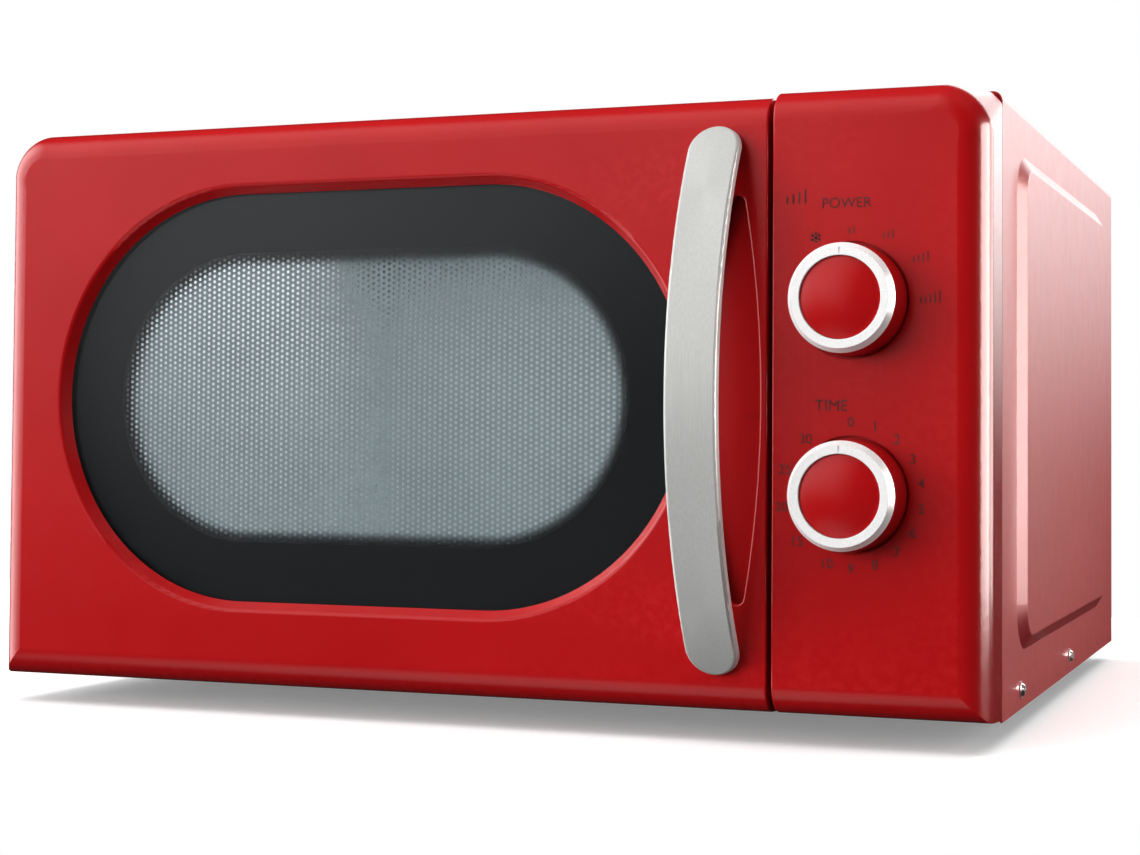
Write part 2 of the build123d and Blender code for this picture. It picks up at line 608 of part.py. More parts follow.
# ---------------------------------------------------------------- fan and air guide
SHROUD_DEPTHS = (338.0, 341.0)
SHROUD_XS = (118.0, 224.0)
SHROUD_ZS = (BOTTOM + 110.0, BOTTOM + 220.0)
SHROUD_OPENING = FAN_RADIUS + 3.0
SHROUD_WALL = 2.0
SHROUD_TUBE = 22.0
with BuildPart() as fan_shroud:
    block(SHROUD_XS, SHROUD_DEPTHS, SHROUD_ZS)
    tube_end = SHROUD_DEPTHS[1] + SHROUD_TUBE
    rod_back([(FAN_X, FAN_Z)], SHROUD_OPENING + SHROUD_WALL, (SHROUD_DEPTHS[0], tube_end))
    rod_back([(FAN_X, FAN_Z)], SHROUD_OPENING, (SHROUD_DEPTHS[0] - 1, tube_end + 1), Mode.SUBTRACT)
fan_shroud.part.label = "fan_shroud"
export_step(fan_shroud.part, "parts/fan_shroud.step")

STATOR_DEPTHS = (306.0, 326.0)
ROTOR_RADIUS = 12.0
FAN_SHAFT_RADIUS = 1.6
STATOR_SIZE = (58.0, 62.0)
STATOR_WINDOW = (26.0, 12.0)
BEARING_GAP = 6.0
BEARING_SHEET = 2.0
BEARING_PLATE = (56.0, 14.0)
MOTOR_POST_X = 24.0
MOTOR_ARM_LENGTH = 29.0
COIL_SIZE = (34.0, 22.0)
COIL_LENGTH = 24.0
LIMB_SECTION = (20.4, 9.6)
with BuildPart() as fan_motor:
    with BuildSketch(face(STATOR_DEPTHS[0])):
        with Locations((FAN_X, FAN_Z - 10)):
            RectangleRounded(*STATOR_SIZE, 3)
            with Locations((0, -16)):
                Rectangle(*STATOR_WINDOW, mode=Mode.SUBTRACT)
        with Locations((FAN_X, FAN_Z)):
            Circle(ROTOR_RADIUS + 0.5, mode=Mode.SUBTRACT)
    extrude(amount=-(STATOR_DEPTHS[1] - STATOR_DEPTHS[0]))
    for depth in (STATOR_DEPTHS[0] - BEARING_GAP, STATOR_DEPTHS[1] + BEARING_GAP - BEARING_SHEET):
        with BuildSketch(face(depth)):
            with Locations((FAN_X, FAN_Z)):
                RectangleRounded(*BEARING_PLATE, 3)
                Circle(FAN_SHAFT_RADIUS + FIT, mode=Mode.SUBTRACT)
        extrude(amount=-BEARING_SHEET)
    for side in (-1, 1):
        post = (FAN_X + side * MOTOR_POST_X, FAN_Z)
        rod_back([post], 2.5, (STATOR_DEPTHS[0] - BEARING_GAP, SHROUD_DEPTHS[0]))
    for low in (FAN_X - SHROUD_OPENING - SHROUD_WALL, FAN_X + MOTOR_POST_X - 2):
        arm_depths = (SHROUD_DEPTHS[0] - 3, SHROUD_DEPTHS[0])
        block((low, low + MOTOR_ARM_LENGTH), arm_depths, (FAN_Z - 4, FAN_Z + 4))
    with BuildSketch(side_plane(FAN_X - COIL_LENGTH / 2, sum(STATOR_DEPTHS) / 2, FAN_Z - 36.5)):
        RectangleRounded(*COIL_SIZE, 4)
        Rectangle(*LIMB_SECTION, mode=Mode.SUBTRACT)
    extrude(amount=COIL_LENGTH)
fan_motor.part.label = "fan_motor"
export_step(fan_motor.part, "parts/fan_motor.step")

with BuildPart() as fan_rotor:
    rod_back([(FAN_X, FAN_Z)], ROTOR_RADIUS, STATOR_DEPTHS)
    rod_back([(FAN_X, FAN_Z)], FAN_SHAFT_RADIUS, (STATOR_DEPTHS[0] - 7, 356.0))
fan_rotor.part.label = "fan_rotor"
export_step(fan_rotor.part, "parts/fan_rotor.step")

HUB_DEPTHS = (341.0, 355.0)
BLADE_COUNT = 6
BLADE_PITCH = 32.0
BLADE_SECTION = (22.0, 1.6)
BLADE_ROOT = 8.0
HUB_RADIUS = 10.0
with BuildPart() as fan_blade:
    rod_back([(FAN_X, FAN_Z)], HUB_RADIUS, HUB_DEPTHS)
    for index in range(BLADE_COUNT):
        turn = radians(index * 360.0 / BLADE_COUNT)
        outward = (cos(turn), 0, sin(turn))
        root_x = FAN_X + BLADE_ROOT * cos(turn)
        root_z = FAN_Z + BLADE_ROOT * sin(turn)
        root = (root_x, FRONT_Y + sum(HUB_DEPTHS) / 2, root_z)
        with BuildSketch(Plane(origin=root, x_dir=(0, 1, 0), z_dir=outward)):
            RectangleRounded(*BLADE_SECTION, 0.7, rotation=90 - BLADE_PITCH)
        extrude(amount=FAN_RADIUS - BLADE_ROOT)
    rod_back([(FAN_X, FAN_Z)], FAN_SHAFT_RADIUS, HUB_DEPTHS, Mode.SUBTRACT)
fan_blade.part.label = "fan_blade"
export_step(fan_blade.part, "parts/fan_blade.step")

AIR_DEPTHS = (118.0, wave_middle[0] - YOKE_HALF[0] - 1)
AIR_XS = (BAY_LEFT + 0.5, YOKE_XS[1])
AIR_WALL = 1.5
with BuildPart() as air_guide:
    zs = (wave_middle[1] - YOKE_HALF[1], wave_middle[1] + YOKE_HALF[1])
    front_depths = (AIR_DEPTHS[0], WAVE_DEPTHS[0] - 1)
    block(AIR_XS, front_depths, zs)
    block((MAGNETRON_X + 3, AIR_XS[1]), (WAVE_DEPTHS[0] - 1, AIR_DEPTHS[1]), zs)
    inner_zs = (zs[0] + AIR_WALL, zs[1] - AIR_WALL)
    inner_right = AIR_XS[1] - AIR_WALL
    chamber_depths = (front_depths[0] + AIR_WALL, front_depths[1] - AIR_WALL)
    block((AIR_XS[0], inner_right), chamber_depths, inner_zs, Mode.SUBTRACT)
    neck_depths = (front_depths[1] - 2, AIR_DEPTHS[1])
    block((MAGNETRON_X + 3 + AIR_WALL, inner_right), neck_depths, inner_zs, Mode.SUBTRACT)
air_guide.part.label = "air_guide"
export_step(air_guide.part, "parts/air_guide.step")

# ---------------------------------------------------------------- lamp, thermal cut-outs, turntable motor
HOLDER_XS = (BAY_LEFT + 28, BAY_LEFT + 42)
HOLDER_HALF = 13.0
HOLDER_LEG = 3.0
HOLDER_SOCKET = (7.2, 10.0)
with BuildPart() as cavity_lamp:
    holder_depths = (LAMP_DEPTH - HOLDER_HALF, LAMP_DEPTH + HOLDER_HALF)
    block(HOLDER_XS, holder_depths, (LAMP_Z - HOLDER_HALF, LAMP_Z + HOLDER_HALF))
    with BuildSketch(side_plane(HOLDER_XS[0], LAMP_DEPTH, LAMP_Z)):
        Circle(HOLDER_SOCKET[0])
    extrude(amount=HOLDER_SOCKET[1], mode=Mode.SUBTRACT)
    for side in (-1, 1):
        depths = sorted((LAMP_DEPTH + side * HOLDER_HALF, LAMP_DEPTH + side * (HOLDER_HALF + HOLDER_LEG)))
        block((BAY_LEFT, HOLDER_XS[1]), depths, (LAMP_Z - 6, LAMP_Z + 6))
    # The bulb is a profile of distance from the bay's wall and radius, turned about the lamp's axis.
    bulb_plane = Plane(origin=(BAY_LEFT, FRONT_Y + LAMP_DEPTH, LAMP_Z), x_dir=(1, 0, 0), z_dir=(0, -1, 0))
    with BuildSketch(bulb_plane):
        with BuildLine():
            Polyline((22.0, 8.3), (26.0, 7.0), (38.0, 7.0), (38.0, 0), (4.0, 0))
            ThreePointArc((4.0, 0), (13.5, 11.0), (22.0, 8.3))
        make_face()
    revolve(axis=Axis((0, FRONT_Y + LAMP_DEPTH, LAMP_Z), (1, 0, 0)))
cavity_lamp.part.label = "cavity_lamp"
export_step(cavity_lamp.part, "parts/cavity_lamp.step")

cavity_roof = CAVITY_FLOOR + CAVITY_HEIGHT + SHEET
CUTOUT_RADIUS = 8.0
CUTOUT_HEIGHT = 8.0
CUTOUT_EARS = (32.0, 8.0, 1.0)
CUTOUT_TAB = (0.8, 5.0, 4.0)
cutout_places = ((10.0, 200.0, cavity_roof), (165.0, wave_middle[0], wave_middle[1] + YOKE_HALF[1]))
with BuildPart() as thermal_cutouts:
    for x, depth, z in cutout_places:
        rod_up([(x, depth)], CUTOUT_RADIUS, (z, z + CUTOUT_HEIGHT))
        with Locations((x, FRONT_Y + depth, z + CUTOUT_EARS[2] / 2)):
            Box(*CUTOUT_EARS)
        with Locations((x, FRONT_Y + depth, z + CUTOUT_HEIGHT + CUTOUT_TAB[2] / 2)):
            with GridLocations(10.0, 1.0, 2, 1):
                Box(*CUTOUT_TAB)
thermal_cutouts.part.label = "thermal_cutouts"
export_step(thermal_cutouts.part, "parts/thermal_cutouts.step")

MOTOR_ZS = (BOTTOM + 9.0, CAVITY_FLOOR - SHEET)
MOTOR_RADIUS = 24.5
MOTOR_EARS = (32.0, 6.0, 1.2)
SPINDLE_RADIUS = 3.5
with BuildPart() as turntable_motor:
    rod_up([table_point], MOTOR_RADIUS, MOTOR_ZS)
    fillet(turntable_motor.faces().sort_by(Axis.Z)[0].edges(), 2)
    block(
        (TURNTABLE_X - MOTOR_EARS[0], TURNTABLE_X + MOTOR_EARS[0]),
        (TURNTABLE_DEPTH - MOTOR_EARS[1], TURNTABLE_DEPTH + MOTOR_EARS[1]),
        (MOTOR_ZS[1] - MOTOR_EARS[2], MOTOR_ZS[1]),
    )
    rod_up([table_point], SPINDLE_RADIUS + FIT, (MOTOR_ZS[0] + 4, MOTOR_ZS[1]), Mode.SUBTRACT)
turntable_motor.part.label = "turntable_motor"
export_step(turntable_motor.part, "parts/turntable_motor.step")

# ---------------------------------------------------------------- timer, power switch and bell
TIMER_XS = (150.0, 200.0)
UNIT_DEPTHS = (34.0, 72.0)
UNIT_PLATE_XS = (147.5, 213.5)
UNIT_PLATE_FRONT = 32.0
SWITCH_BLOCK_BACK = UNIT_DEPTHS[1] - 10.0
SHAFT_DEPTH = 58.0
UNIT_TAB_STEP = 10.0
with BuildPart() as timer_unit:
    block(UNIT_PLATE_XS, (UNIT_PLATE_FRONT, UNIT_DEPTHS[0]), (TIMER_Z - 26, POWER_Z + 24))
    block(TIMER_XS, UNIT_DEPTHS, (TIMER_Z - 24, TIMER_Z + 26))
    block(TIMER_XS, (UNIT_DEPTHS[0], SWITCH_BLOCK_BACK), (POWER_Z - 20, POWER_Z + 20))
    bore_depths = (UNIT_PLATE_FRONT - 1, SHAFT_DEPTH + 0.5)
    rod_back([(DIAL_X, TIMER_Z), (DIAL_X, POWER_Z)], SHAFT_RADIUS + FIT, bore_depths, Mode.SUBTRACT)
    tab_xs = (TIMER_XS[0] + 8, TIMER_XS[0] + 8 + SPADE[0])
    for index in range(4):
        tab_z = POWER_Z + (index - 1.5) * UNIT_TAB_STEP
        block(tab_xs, (SWITCH_BLOCK_BACK, SWITCH_BLOCK_BACK + 8), (tab_z, tab_z + SPADE[1]))
timer_unit.part.label = "timer_unit"
export_step(timer_unit.part, "parts/timer_unit.step")

BELL_RADIUS = 21.0
BELL_DEPTH = UNIT_DEPTHS[1] + 3
BELL_POST = 2.0
BELL_HEIGHT = 12.0
bell_plane = Plane(origin=(DIAL_X, FRONT_Y + BELL_DEPTH, TIMER_Z), x_dir=(1, 0, 0), z_dir=(0, 0, 1))
with BuildPart() as timer_bell:
    with BuildSketch(bell_plane):
        with BuildLine():
            Polyline(
                (BELL_POST, BELL_HEIGHT),
                (BELL_POST, BELL_HEIGHT - 1),
                (14.0, BELL_HEIGHT - 2),
                (BELL_RADIUS - 1, 0),
                (BELL_RADIUS, 0),
                (15.0, BELL_HEIGHT - 0.6),
                close=True,
            )
        make_face()
    revolve(axis=Axis((DIAL_X, FRONT_Y, TIMER_Z), (0, 1, 0)))
    rod_back([(DIAL_X, TIMER_Z)], BELL_POST, (UNIT_DEPTHS[1], BELL_DEPTH + BELL_HEIGHT + 1))
timer_bell.part.label = "timer_bell"
export_step(timer_bell.part, "parts/timer_bell.step")

# ---------------------------------------------------------------- control panel
RECESS_RADIUS = 23.3
RECESS_DEPTH = 2.0
BOSS_WALL = 3.0
UNIT_POST_XS = (151.0, 210.0)
UNIT_POST_RADIUS = 3.5
PLATE_POST_RADIUS = 4.0
PLATE_POSTS_LOW = [(x, FRONT_BOTTOM + 10) for x in (160.0, 215.0)]
PLATE_POSTS_HIGH = [(x, TOP - 12) for x in (160.0, 208.0)]
panel_width = HALF_WIDTH - PANEL_LEFT
panel_height = TOP - FRONT_BOTTOM
panel_centre = (PANEL_LEFT + panel_width / 2, FRONT_BOTTOM + panel_height / 2)
with BuildPart() as control_panel:
    for depth, radii, drop in front_stages(PANEL_CORNERS_BACK):
        with BuildSketch(face(depth)):
            front_outline(panel_width, panel_height, panel_centre, radii, 1, drop)
    loft(ruled=True)
    front_edges = control_panel.faces().sort_by(Axis.Y)[0].edges()
    left_edge = front_edges.sort_by(Axis.X)[0]
    fillet([edge for edge in front_edges if edge != left_edge], FRONT_EDGE_ROUND)
    fillet(control_panel.faces().sort_by(Axis.X)[0].edges().sort_by(Axis.Y)[0], SEAM_ROUND)
    with BuildSketch(face(FRONT_THICKNESS)):
        pocket = (panel_width - 2 * PLASTIC_WALL, panel_height - 2 * PLASTIC_WALL)
        front_outline(*pocket, panel_centre, POCKET_CORNERS, 1)
    extrude(amount=FRONT_THICKNESS - FRONT_WALL, mode=Mode.SUBTRACT)
    for z in (POWER_Z, TIMER_Z):
        rod_back([(DIAL_X, z)], RECESS_RADIUS + BOSS_WALL, (FRONT_WALL - 0.5, FRONT_WALL + 2))
    unit_posts = [(x, z) for x in UNIT_POST_XS for z in (TIMER_Z - 20, POWER_Z + 18)]
    rod_back(unit_posts, UNIT_POST_RADIUS, (FRONT_WALL - 0.5, UNIT_PLATE_FRONT))
    plate_posts = PLATE_POSTS_LOW + PLATE_POSTS_HIGH
    rod_back(plate_posts, PLATE_POST_RADIUS, (FRONT_WALL - 0.5, PLATE_DEPTH))
    for z in (POWER_Z, TIMER_Z):
        rod_back([(DIAL_X, z)], RECESS_RADIUS, (0, RECESS_DEPTH), Mode.SUBTRACT)
        rod_back([(DIAL_X, z)], SHAFT_RADIUS + 1.5, (0, FRONT_WALL + 3), Mode.SUBTRACT)
control_panel.part.label = "control_panel"
export_step(control_panel.part, "parts/control_panel.step")

# ---------------------------------------------------------------- dials
SKIRT_BACK = -1.2
SKIRT_BASE = 22.3
SKIRT_TOP = 21.4
SKIRT_HOLLOW = (7.0, 19.6)
SKIRT_HOLLOW_TOP = 9.0
RING_SEAT = 15.0
RING_INNER = 16.2
RING_OUTER = 21.3
RING_FLAT = (16.4, 19.6)
RING_SHOULDER = 15.6
RING_FRONT = 18.6
POINTER = (0.7, 2.4)
CAP_RADIUS = 16.0
CAP_CROWN = 19.5
CAP_BALL = 61.0
HUB_TOP = 11.5
for dial, dial_z in (("power", POWER_Z), ("timer", TIMER_Z)):
    with BuildPart() as skirt:
        with BuildSketch(dial_plane(dial_z)):
            with BuildLine():
                Polyline(
                    (SHAFT_RADIUS, SKIRT_BACK),
                    (SKIRT_HOLLOW[0], SKIRT_BACK),
                    (SKIRT_HOLLOW[0], SKIRT_HOLLOW_TOP),
                    (SKIRT_HOLLOW[1], SKIRT_HOLLOW_TOP),
                    (SKIRT_HOLLOW[1] + 0.6, SKIRT_BACK),
                    (SKIRT_BASE, SKIRT_BACK),
                    (SKIRT_TOP, RING_SEAT),
                    (RING_INNER, RING_SEAT),
                    (RING_INNER, HUB_TOP),
                    (SHAFT_RADIUS, HUB_TOP),
                    close=True,
                )
            make_face()
        revolve(axis=dial_axis(dial_z))
    skirt.part.label = f"{dial}_knob_skirt"
    export_step(skirt.part, f"parts/{dial}_knob_skirt.step")

    with BuildPart() as ring:
        with BuildSketch(dial_plane(dial_z)):
            with BuildLine():
                Polyline(
                    (RING_INNER, RING_SEAT),
                    (RING_OUTER, RING_SEAT),
                    (RING_OUTER, RING_SHOULDER),
                    (RING_FLAT[1], RING_FRONT),
                    (RING_FLAT[0], RING_FRONT),
                    (RING_INNER, RING_FRONT - 0.2),
                    close=True,
                )
            make_face()
        revolve(axis=dial_axis(dial_z))
        with BuildSketch(face(-RING_FRONT)):
            with Locations((DIAL_X, dial_z + sum(RING_FLAT) / 2)):
                Rectangle(*POINTER)
        extrude(amount=-0.4, mode=Mode.SUBTRACT)
    ring.part.label = f"{dial}_knob_ring"
    export_step(ring.part, f"parts/{dial}_knob_ring.step")

    with BuildPart() as cap:
        rod_back([(DIAL_X, dial_z)], CAP_RADIUS, (-CAP_CROWN, -HUB_TOP))
        with Locations((DIAL_X, FRONT_Y - CAP_CROWN + CAP_BALL, dial_z)):
            Sphere(CAP_BALL, mode=Mode.INTERSECT)
    cap.part.label = f"{dial}_knob_cap"
    export_step(cap.part, f"parts/{dial}_knob_cap.step")

    with BuildPart() as shaft:
        rod_back([(DIAL_X, dial_z)], SHAFT_RADIUS, (-HUB_TOP, SHAFT_DEPTH))
    shaft.part.label = f"{dial}_shaft"
    export_step(shaft.part, f"parts/{dial}_shaft.step")

# ---------------------------------------------------------------- door
door_width = DOOR_RIGHT + HALF_WIDTH
door_height = DOOR_TOP - FRONT_BOTTOM
door_centre = (DOOR_RIGHT - door_width / 2, FRONT_BOTTOM + door_height / 2)
SCOOP_X = 127.3
SCOOP_HALF = 91.0
SCOOP_BULGES = (15.0, 8.7)
SCOOP_DEPTH = 5.0
SCOOP_ROUND = 1.2
SCOOP_TIP = 3.0
WINDOW_ROUND = 2.2
HINGE_RELIEF = PLATE_DEPTH - HINGE_DEPTH - 0.6
SOCKET_RADIUS = 5.5
SOCKET_LENGTH = 12.0
SOCKET_RIB = 3.0
SOCKET_END_GAP = 0.5
LATCH_BAR_DEPTHS = (13.0, 21.0)
LATCH_REST_XS = (127.0, DOOR_RIGHT - 1)
SPRING_LEDGE = (BOTTOM + 226.0, BOTTOM + 229.0)
HANDLE_SCREW_HOLE = 2.2
HINGE_ROOM_DEPTHS = (7.0, FRONT_THICKNESS + 1)
HINGE_ROOM_SLACK = 0.6


def scoop_outline(grow=0.0):
    """Lens shape of the finger scoop behind the handle."""
    tip_low = (SCOOP_X, HANDLE_Z - SCOOP_HALF - 3 * grow)
    tip_high = (SCOOP_X, HANDLE_Z + SCOOP_HALF + 3 * grow)
    with BuildLine() as lens:
        ThreePointArc(tip_low, (SCOOP_X - SCOOP_BULGES[0] - grow, HANDLE_Z), tip_high)
        ThreePointArc(tip_high, (SCOOP_X + SCOOP_BULGES[1] + grow, HANDLE_Z), tip_low)
    outline = make_face(lens.edges())
    fillet(outline.vertices(), SCOOP_TIP)


def rim_edges(part, middle_x, reach):
    """Edges of an opening in the flat front face, around an x."""
    flat = part.edges().filter_by_position(Axis.Y, FRONT_Y - 0.01, FRONT_Y + 0.01)
    return [edge for edge in flat if abs(edge.center().X - middle_x) < reach and inside_front(edge)]


def inside_front(edge):
    """True if an edge belongs to an opening, not to the front's outer edge."""
    middle = edge.center(CenterOf.BOUNDING_BOX)
    return abs(middle.Z - HANDLE_Z) < WINDOW_RADIUS + 2 * WINDOW_BEVEL and middle.X < DOOR_RIGHT - 1


def window_outline(radius):
    """Stadium about the window's middle."""
    with Locations((WINDOW_X, WINDOW_Z)):
        SlotCenterToCenter(WINDOW_SPAN, 2 * radius)


with BuildPart() as door_frame:
    for depth, radii, drop in front_stages(DOOR_CORNERS_BACK):
        with BuildSketch(face(depth)):
            front_outline(door_width, door_height, door_centre, radii, -1, drop)
    loft(ruled=True)
    front_edges = door_frame.faces().sort_by(Axis.Y)[0].edges()
    right_edge = front_edges.sort_by(Axis.X)[-1]
    fillet([edge for edge in front_edges if edge != right_edge], FRONT_EDGE_ROUND)
    fillet(door_frame.faces().sort_by(Axis.X)[-1].edges().sort_by(Axis.Y)[0], SEAM_ROUND)
    with BuildSketch(face(FRONT_THICKNESS)):
        pocket = (door_width - 2 * PLASTIC_WALL, door_height - 2 * PLASTIC_WALL)
        front_outline(*pocket, door_centre, POCKET_CORNERS, -1)
    extrude(amount=FRONT_THICKNESS - FRONT_WALL, mode=Mode.SUBTRACT)
    with BuildSketch(face(FRONT_WALL - 0.5)):
        scoop_outline(2.0)
    extrude(amount=-(SCOOP_DEPTH + 2.5 - FRONT_WALL + 0.5))
    with BuildSketch(face(0)):
        scoop_outline()
    extrude(amount=-SCOOP_DEPTH, mode=Mode.SUBTRACT)
    fillet(rim_edges(door_frame, SCOOP_X, 30.0), SCOOP_ROUND)
    with BuildSketch(face(0)):
        window_outline(WINDOW_RADIUS + WINDOW_BEVEL)
    with BuildSketch(face(FRONT_WALL)):
        window_outline(WINDOW_RADIUS)
    loft(ruled=True, mode=Mode.SUBTRACT)
    fillet(rim_edges(door_frame, WINDOW_X, WINDOW_SPAN), WINDOW_ROUND)
    # Sockets for the two hinge pins, each on a rib from the left wall.
    for arm_z, away in ((ARM_ZS[0], -1), (ARM_ZS[1] + ARM_THICKNESS, 1)):
        zs = sorted((arm_z + away * SOCKET_END_GAP, arm_z + away * (SOCKET_END_GAP + SOCKET_LENGTH)))
        rod_up([(HINGE_X, HINGE_DEPTH)], SOCKET_RADIUS, zs)
        block((-HALF_WIDTH + 1.5, HINGE_X), (HINGE_DEPTH - SOCKET_RIB, HINGE_DEPTH + SOCKET_RIB), zs)
        block((HINGE_X - SOCKET_RIB, HINGE_X + SOCKET_RIB), (FRONT_WALL - 0.5, HINGE_DEPTH), zs)
        rod_up([(HINGE_X, HINGE_DEPTH)], HINGE_PIN_RADIUS + FIT, (zs[0] - 1, zs[1] + 1), Mode.SUBTRACT)
    # Room for the hinge arms as the door turns round them.
    for arm_z in ARM_ZS:
        room_xs = (-HALF_WIDTH - 1, HINGE_X + ARM_HALF + 1)
        room_zs = (arm_z - HINGE_ROOM_SLACK, arm_z + ARM_THICKNESS + HINGE_ROOM_SLACK)
        block(room_xs, HINGE_ROOM_DEPTHS, room_zs, Mode.SUBTRACT)
    # The rear left edge is an arc about the hinge, so that it clears the cavity's front plate.
    with BuildSketch(level(FRONT_BOTTOM - BOTTOM_DRAFT - 1)):
        with Locations((HINGE_X - 10, FRONT_Y + HINGE_DEPTH + 10)):
            Rectangle(20, 20)
        with Locations((HINGE_X, FRONT_Y + HINGE_DEPTH)):
            Circle(HINGE_RELIEF, mode=Mode.SUBTRACT)
    extrude(amount=door_height + BOTTOM_DRAFT + 2, mode=Mode.SUBTRACT)
    # Rest for the latch bar, and the ledge that holds the top of its spring.
    block(LATCH_REST_XS, (FRONT_WALL, LATCH_BAR_DEPTHS[0] - GAP), (HANDLE_Z - 6, HANDLE_Z + 6))
    block(LATCH_REST_XS, (FRONT_WALL, LATCH_BAR_DEPTHS[1] + 1), SPRING_LEDGE)
    posts = [(HANDLE_X, HANDLE_Z + side * HANDLE_POST_OFFSET) for side in (-1, 1)]
    rod_back(posts, HANDLE_SCREW_HOLE, (0, FRONT_WALL), Mode.SUBTRACT)
door_frame.part.label = "door_frame"
export_step(door_frame.part, "parts/door_frame.step")

with BuildPart() as door_glass:
    with BuildSketch(face(FRONT_WALL)):
        window_outline(WINDOW_RADIUS + GLASS_LIP)
    extrude(amount=-GLASS_THICKNESS)
door_glass.part.label = "door_glass"
export_step(door_glass.part, "parts/door_glass.step")

PAN_SIZE = (270.0, 152.0)
PAN_CORNER = 24.0
SCREEN_DEPTH = 11.0
CHOKE_DEPTHS = (24.0, 28.4)
CHOKE_XS = (-211.0, 125.5)
CHOKE_ZS = (BOTTOM + 20.0, BOTTOM + 236.0)
CHOKE_SLOT_STEP = 16.0
CHOKE_SLOT = (3.0, 6.0)
FILM_THICKNESS = 0.3
with BuildPart() as choke_frame:
    with BuildSketch(face(SCREEN_DEPTH)):
        with Locations((WINDOW_X, WINDOW_Z)):
            RectangleRounded(*PAN_SIZE, PAN_CORNER)
    extrude(amount=-(CHOKE_DEPTHS[0] + SHEET - SCREEN_DEPTH))
    block(CHOKE_XS, CHOKE_DEPTHS, CHOKE_ZS)
    block(
        (CHOKE_XS[0] + SHEET, CHOKE_XS[1] - SHEET),
        (CHOKE_DEPTHS[0] + SHEET, CHOKE_DEPTHS[1]),
        (CHOKE_ZS[0] + SHEET, CHOKE_ZS[1] - SHEET),
        Mode.SUBTRACT,
    )
    with BuildSketch(face(SCREEN_DEPTH)):
        with Locations((WINDOW_X, WINDOW_Z)):
            RectangleRounded(PAN_SIZE[0] - 2 * SHEET, PAN_SIZE[1] - 2 * SHEET, PAN_CORNER - SHEET)
    extrude(amount=-(CHOKE_DEPTHS[1] - SCREEN_DEPTH), mode=Mode.SUBTRACT)
    # Slots through the raised rim, which make the choke.
    with BuildSketch(face(CHOKE_DEPTHS[0] + 2 * SHEET)):
        with Locations((sum(CHOKE_XS) / 2, sum(CHOKE_ZS) / 2)):
            with GridLocations(CHOKE_SLOT_STEP, CHOKE_ZS[1] - CHOKE_ZS[0], 20, 2):
                Rectangle(*CHOKE_SLOT)
            with GridLocations(CHOKE_XS[1] - CHOKE_XS[0], CHOKE_SLOT_STEP, 2, 13):
                Rectangle(*CHOKE_SLOT, rotation=90)
    extrude(amount=-5.0, mode=Mode.SUBTRACT)
choke_frame.part.label = "choke_frame"
export_step(choke_frame.part, "parts/choke_frame.step")

with BuildPart() as door_screen:
    with BuildSketch(face(SCREEN_DEPTH - SHEET)):
        with Locations((WINDOW_X, WINDOW_Z)):
            RectangleRounded(*PAN_SIZE, PAN_CORNER)
    extrude(amount=-SHEET)
door_screen.part.label = "door_screen"
export_step(door_screen.part, "parts/door_screen.step")

with BuildPart() as inner_film:
    with BuildSketch(face(CHOKE_DEPTHS[0] + SHEET)):
        with Locations((WINDOW_X, WINDOW_Z)):
            RectangleRounded(PAN_SIZE[0] + 8, PAN_SIZE[1] + 8, PAN_CORNER)
    extrude(amount=-FILM_THICKNESS)
inner_film.part.label = "inner_film"
export_step(inner_film.part, "parts/inner_film.step")

COVER_XS = (-213.5, 127.0)
COVER_ZS = (BOTTOM + 17.5, BOTTOM + 238.5)
COVER_DEPTHS = (CHOKE_DEPTHS[1] + 0.1, FRONT_THICKNESS)
FRAME_FRONT = CHOKE_DEPTHS[0] + SHEET + FILM_THICKNESS + 0.1
FRAME_WIDTH = 4.0
with BuildPart() as choke_cover:
    with BuildSketch(face(COVER_DEPTHS[0])):
        with Locations((sum(COVER_XS) / 2, sum(COVER_ZS) / 2)):
            RectangleRounded(COVER_XS[1] - COVER_XS[0], COVER_ZS[1] - COVER_ZS[0], 8)
    extrude(amount=-(COVER_DEPTHS[1] - COVER_DEPTHS[0]))
    fillet(choke_cover.faces().sort_by(Axis.Y)[-1].edges(), 0.8)
    # Frame that presses the film's edge against the pan, round the opening.
    opening_size = (PAN_SIZE[0] + 4, PAN_SIZE[1] + 4)
    frame_size = (opening_size[0] + 2 * FRAME_WIDTH, opening_size[1] + 2 * FRAME_WIDTH)
    with BuildSketch(face(FRAME_FRONT)):
        with Locations((WINDOW_X, WINDOW_Z)):
            RectangleRounded(*frame_size, PAN_CORNER + FRAME_WIDTH)
    extrude(amount=-(COVER_DEPTHS[0] - FRAME_FRONT))
    with BuildSketch(face(CHOKE_DEPTHS[0])):
        with Locations((WINDOW_X, WINDOW_Z)):
            RectangleRounded(*opening_size, PAN_CORNER)
    extrude(amount=-(FRONT_THICKNESS + 1 - CHOKE_DEPTHS[0]), mode=Mode.SUBTRACT)
choke_cover.part.label = "choke_cover"
export_step(choke_cover.part, "parts/choke_cover.step")

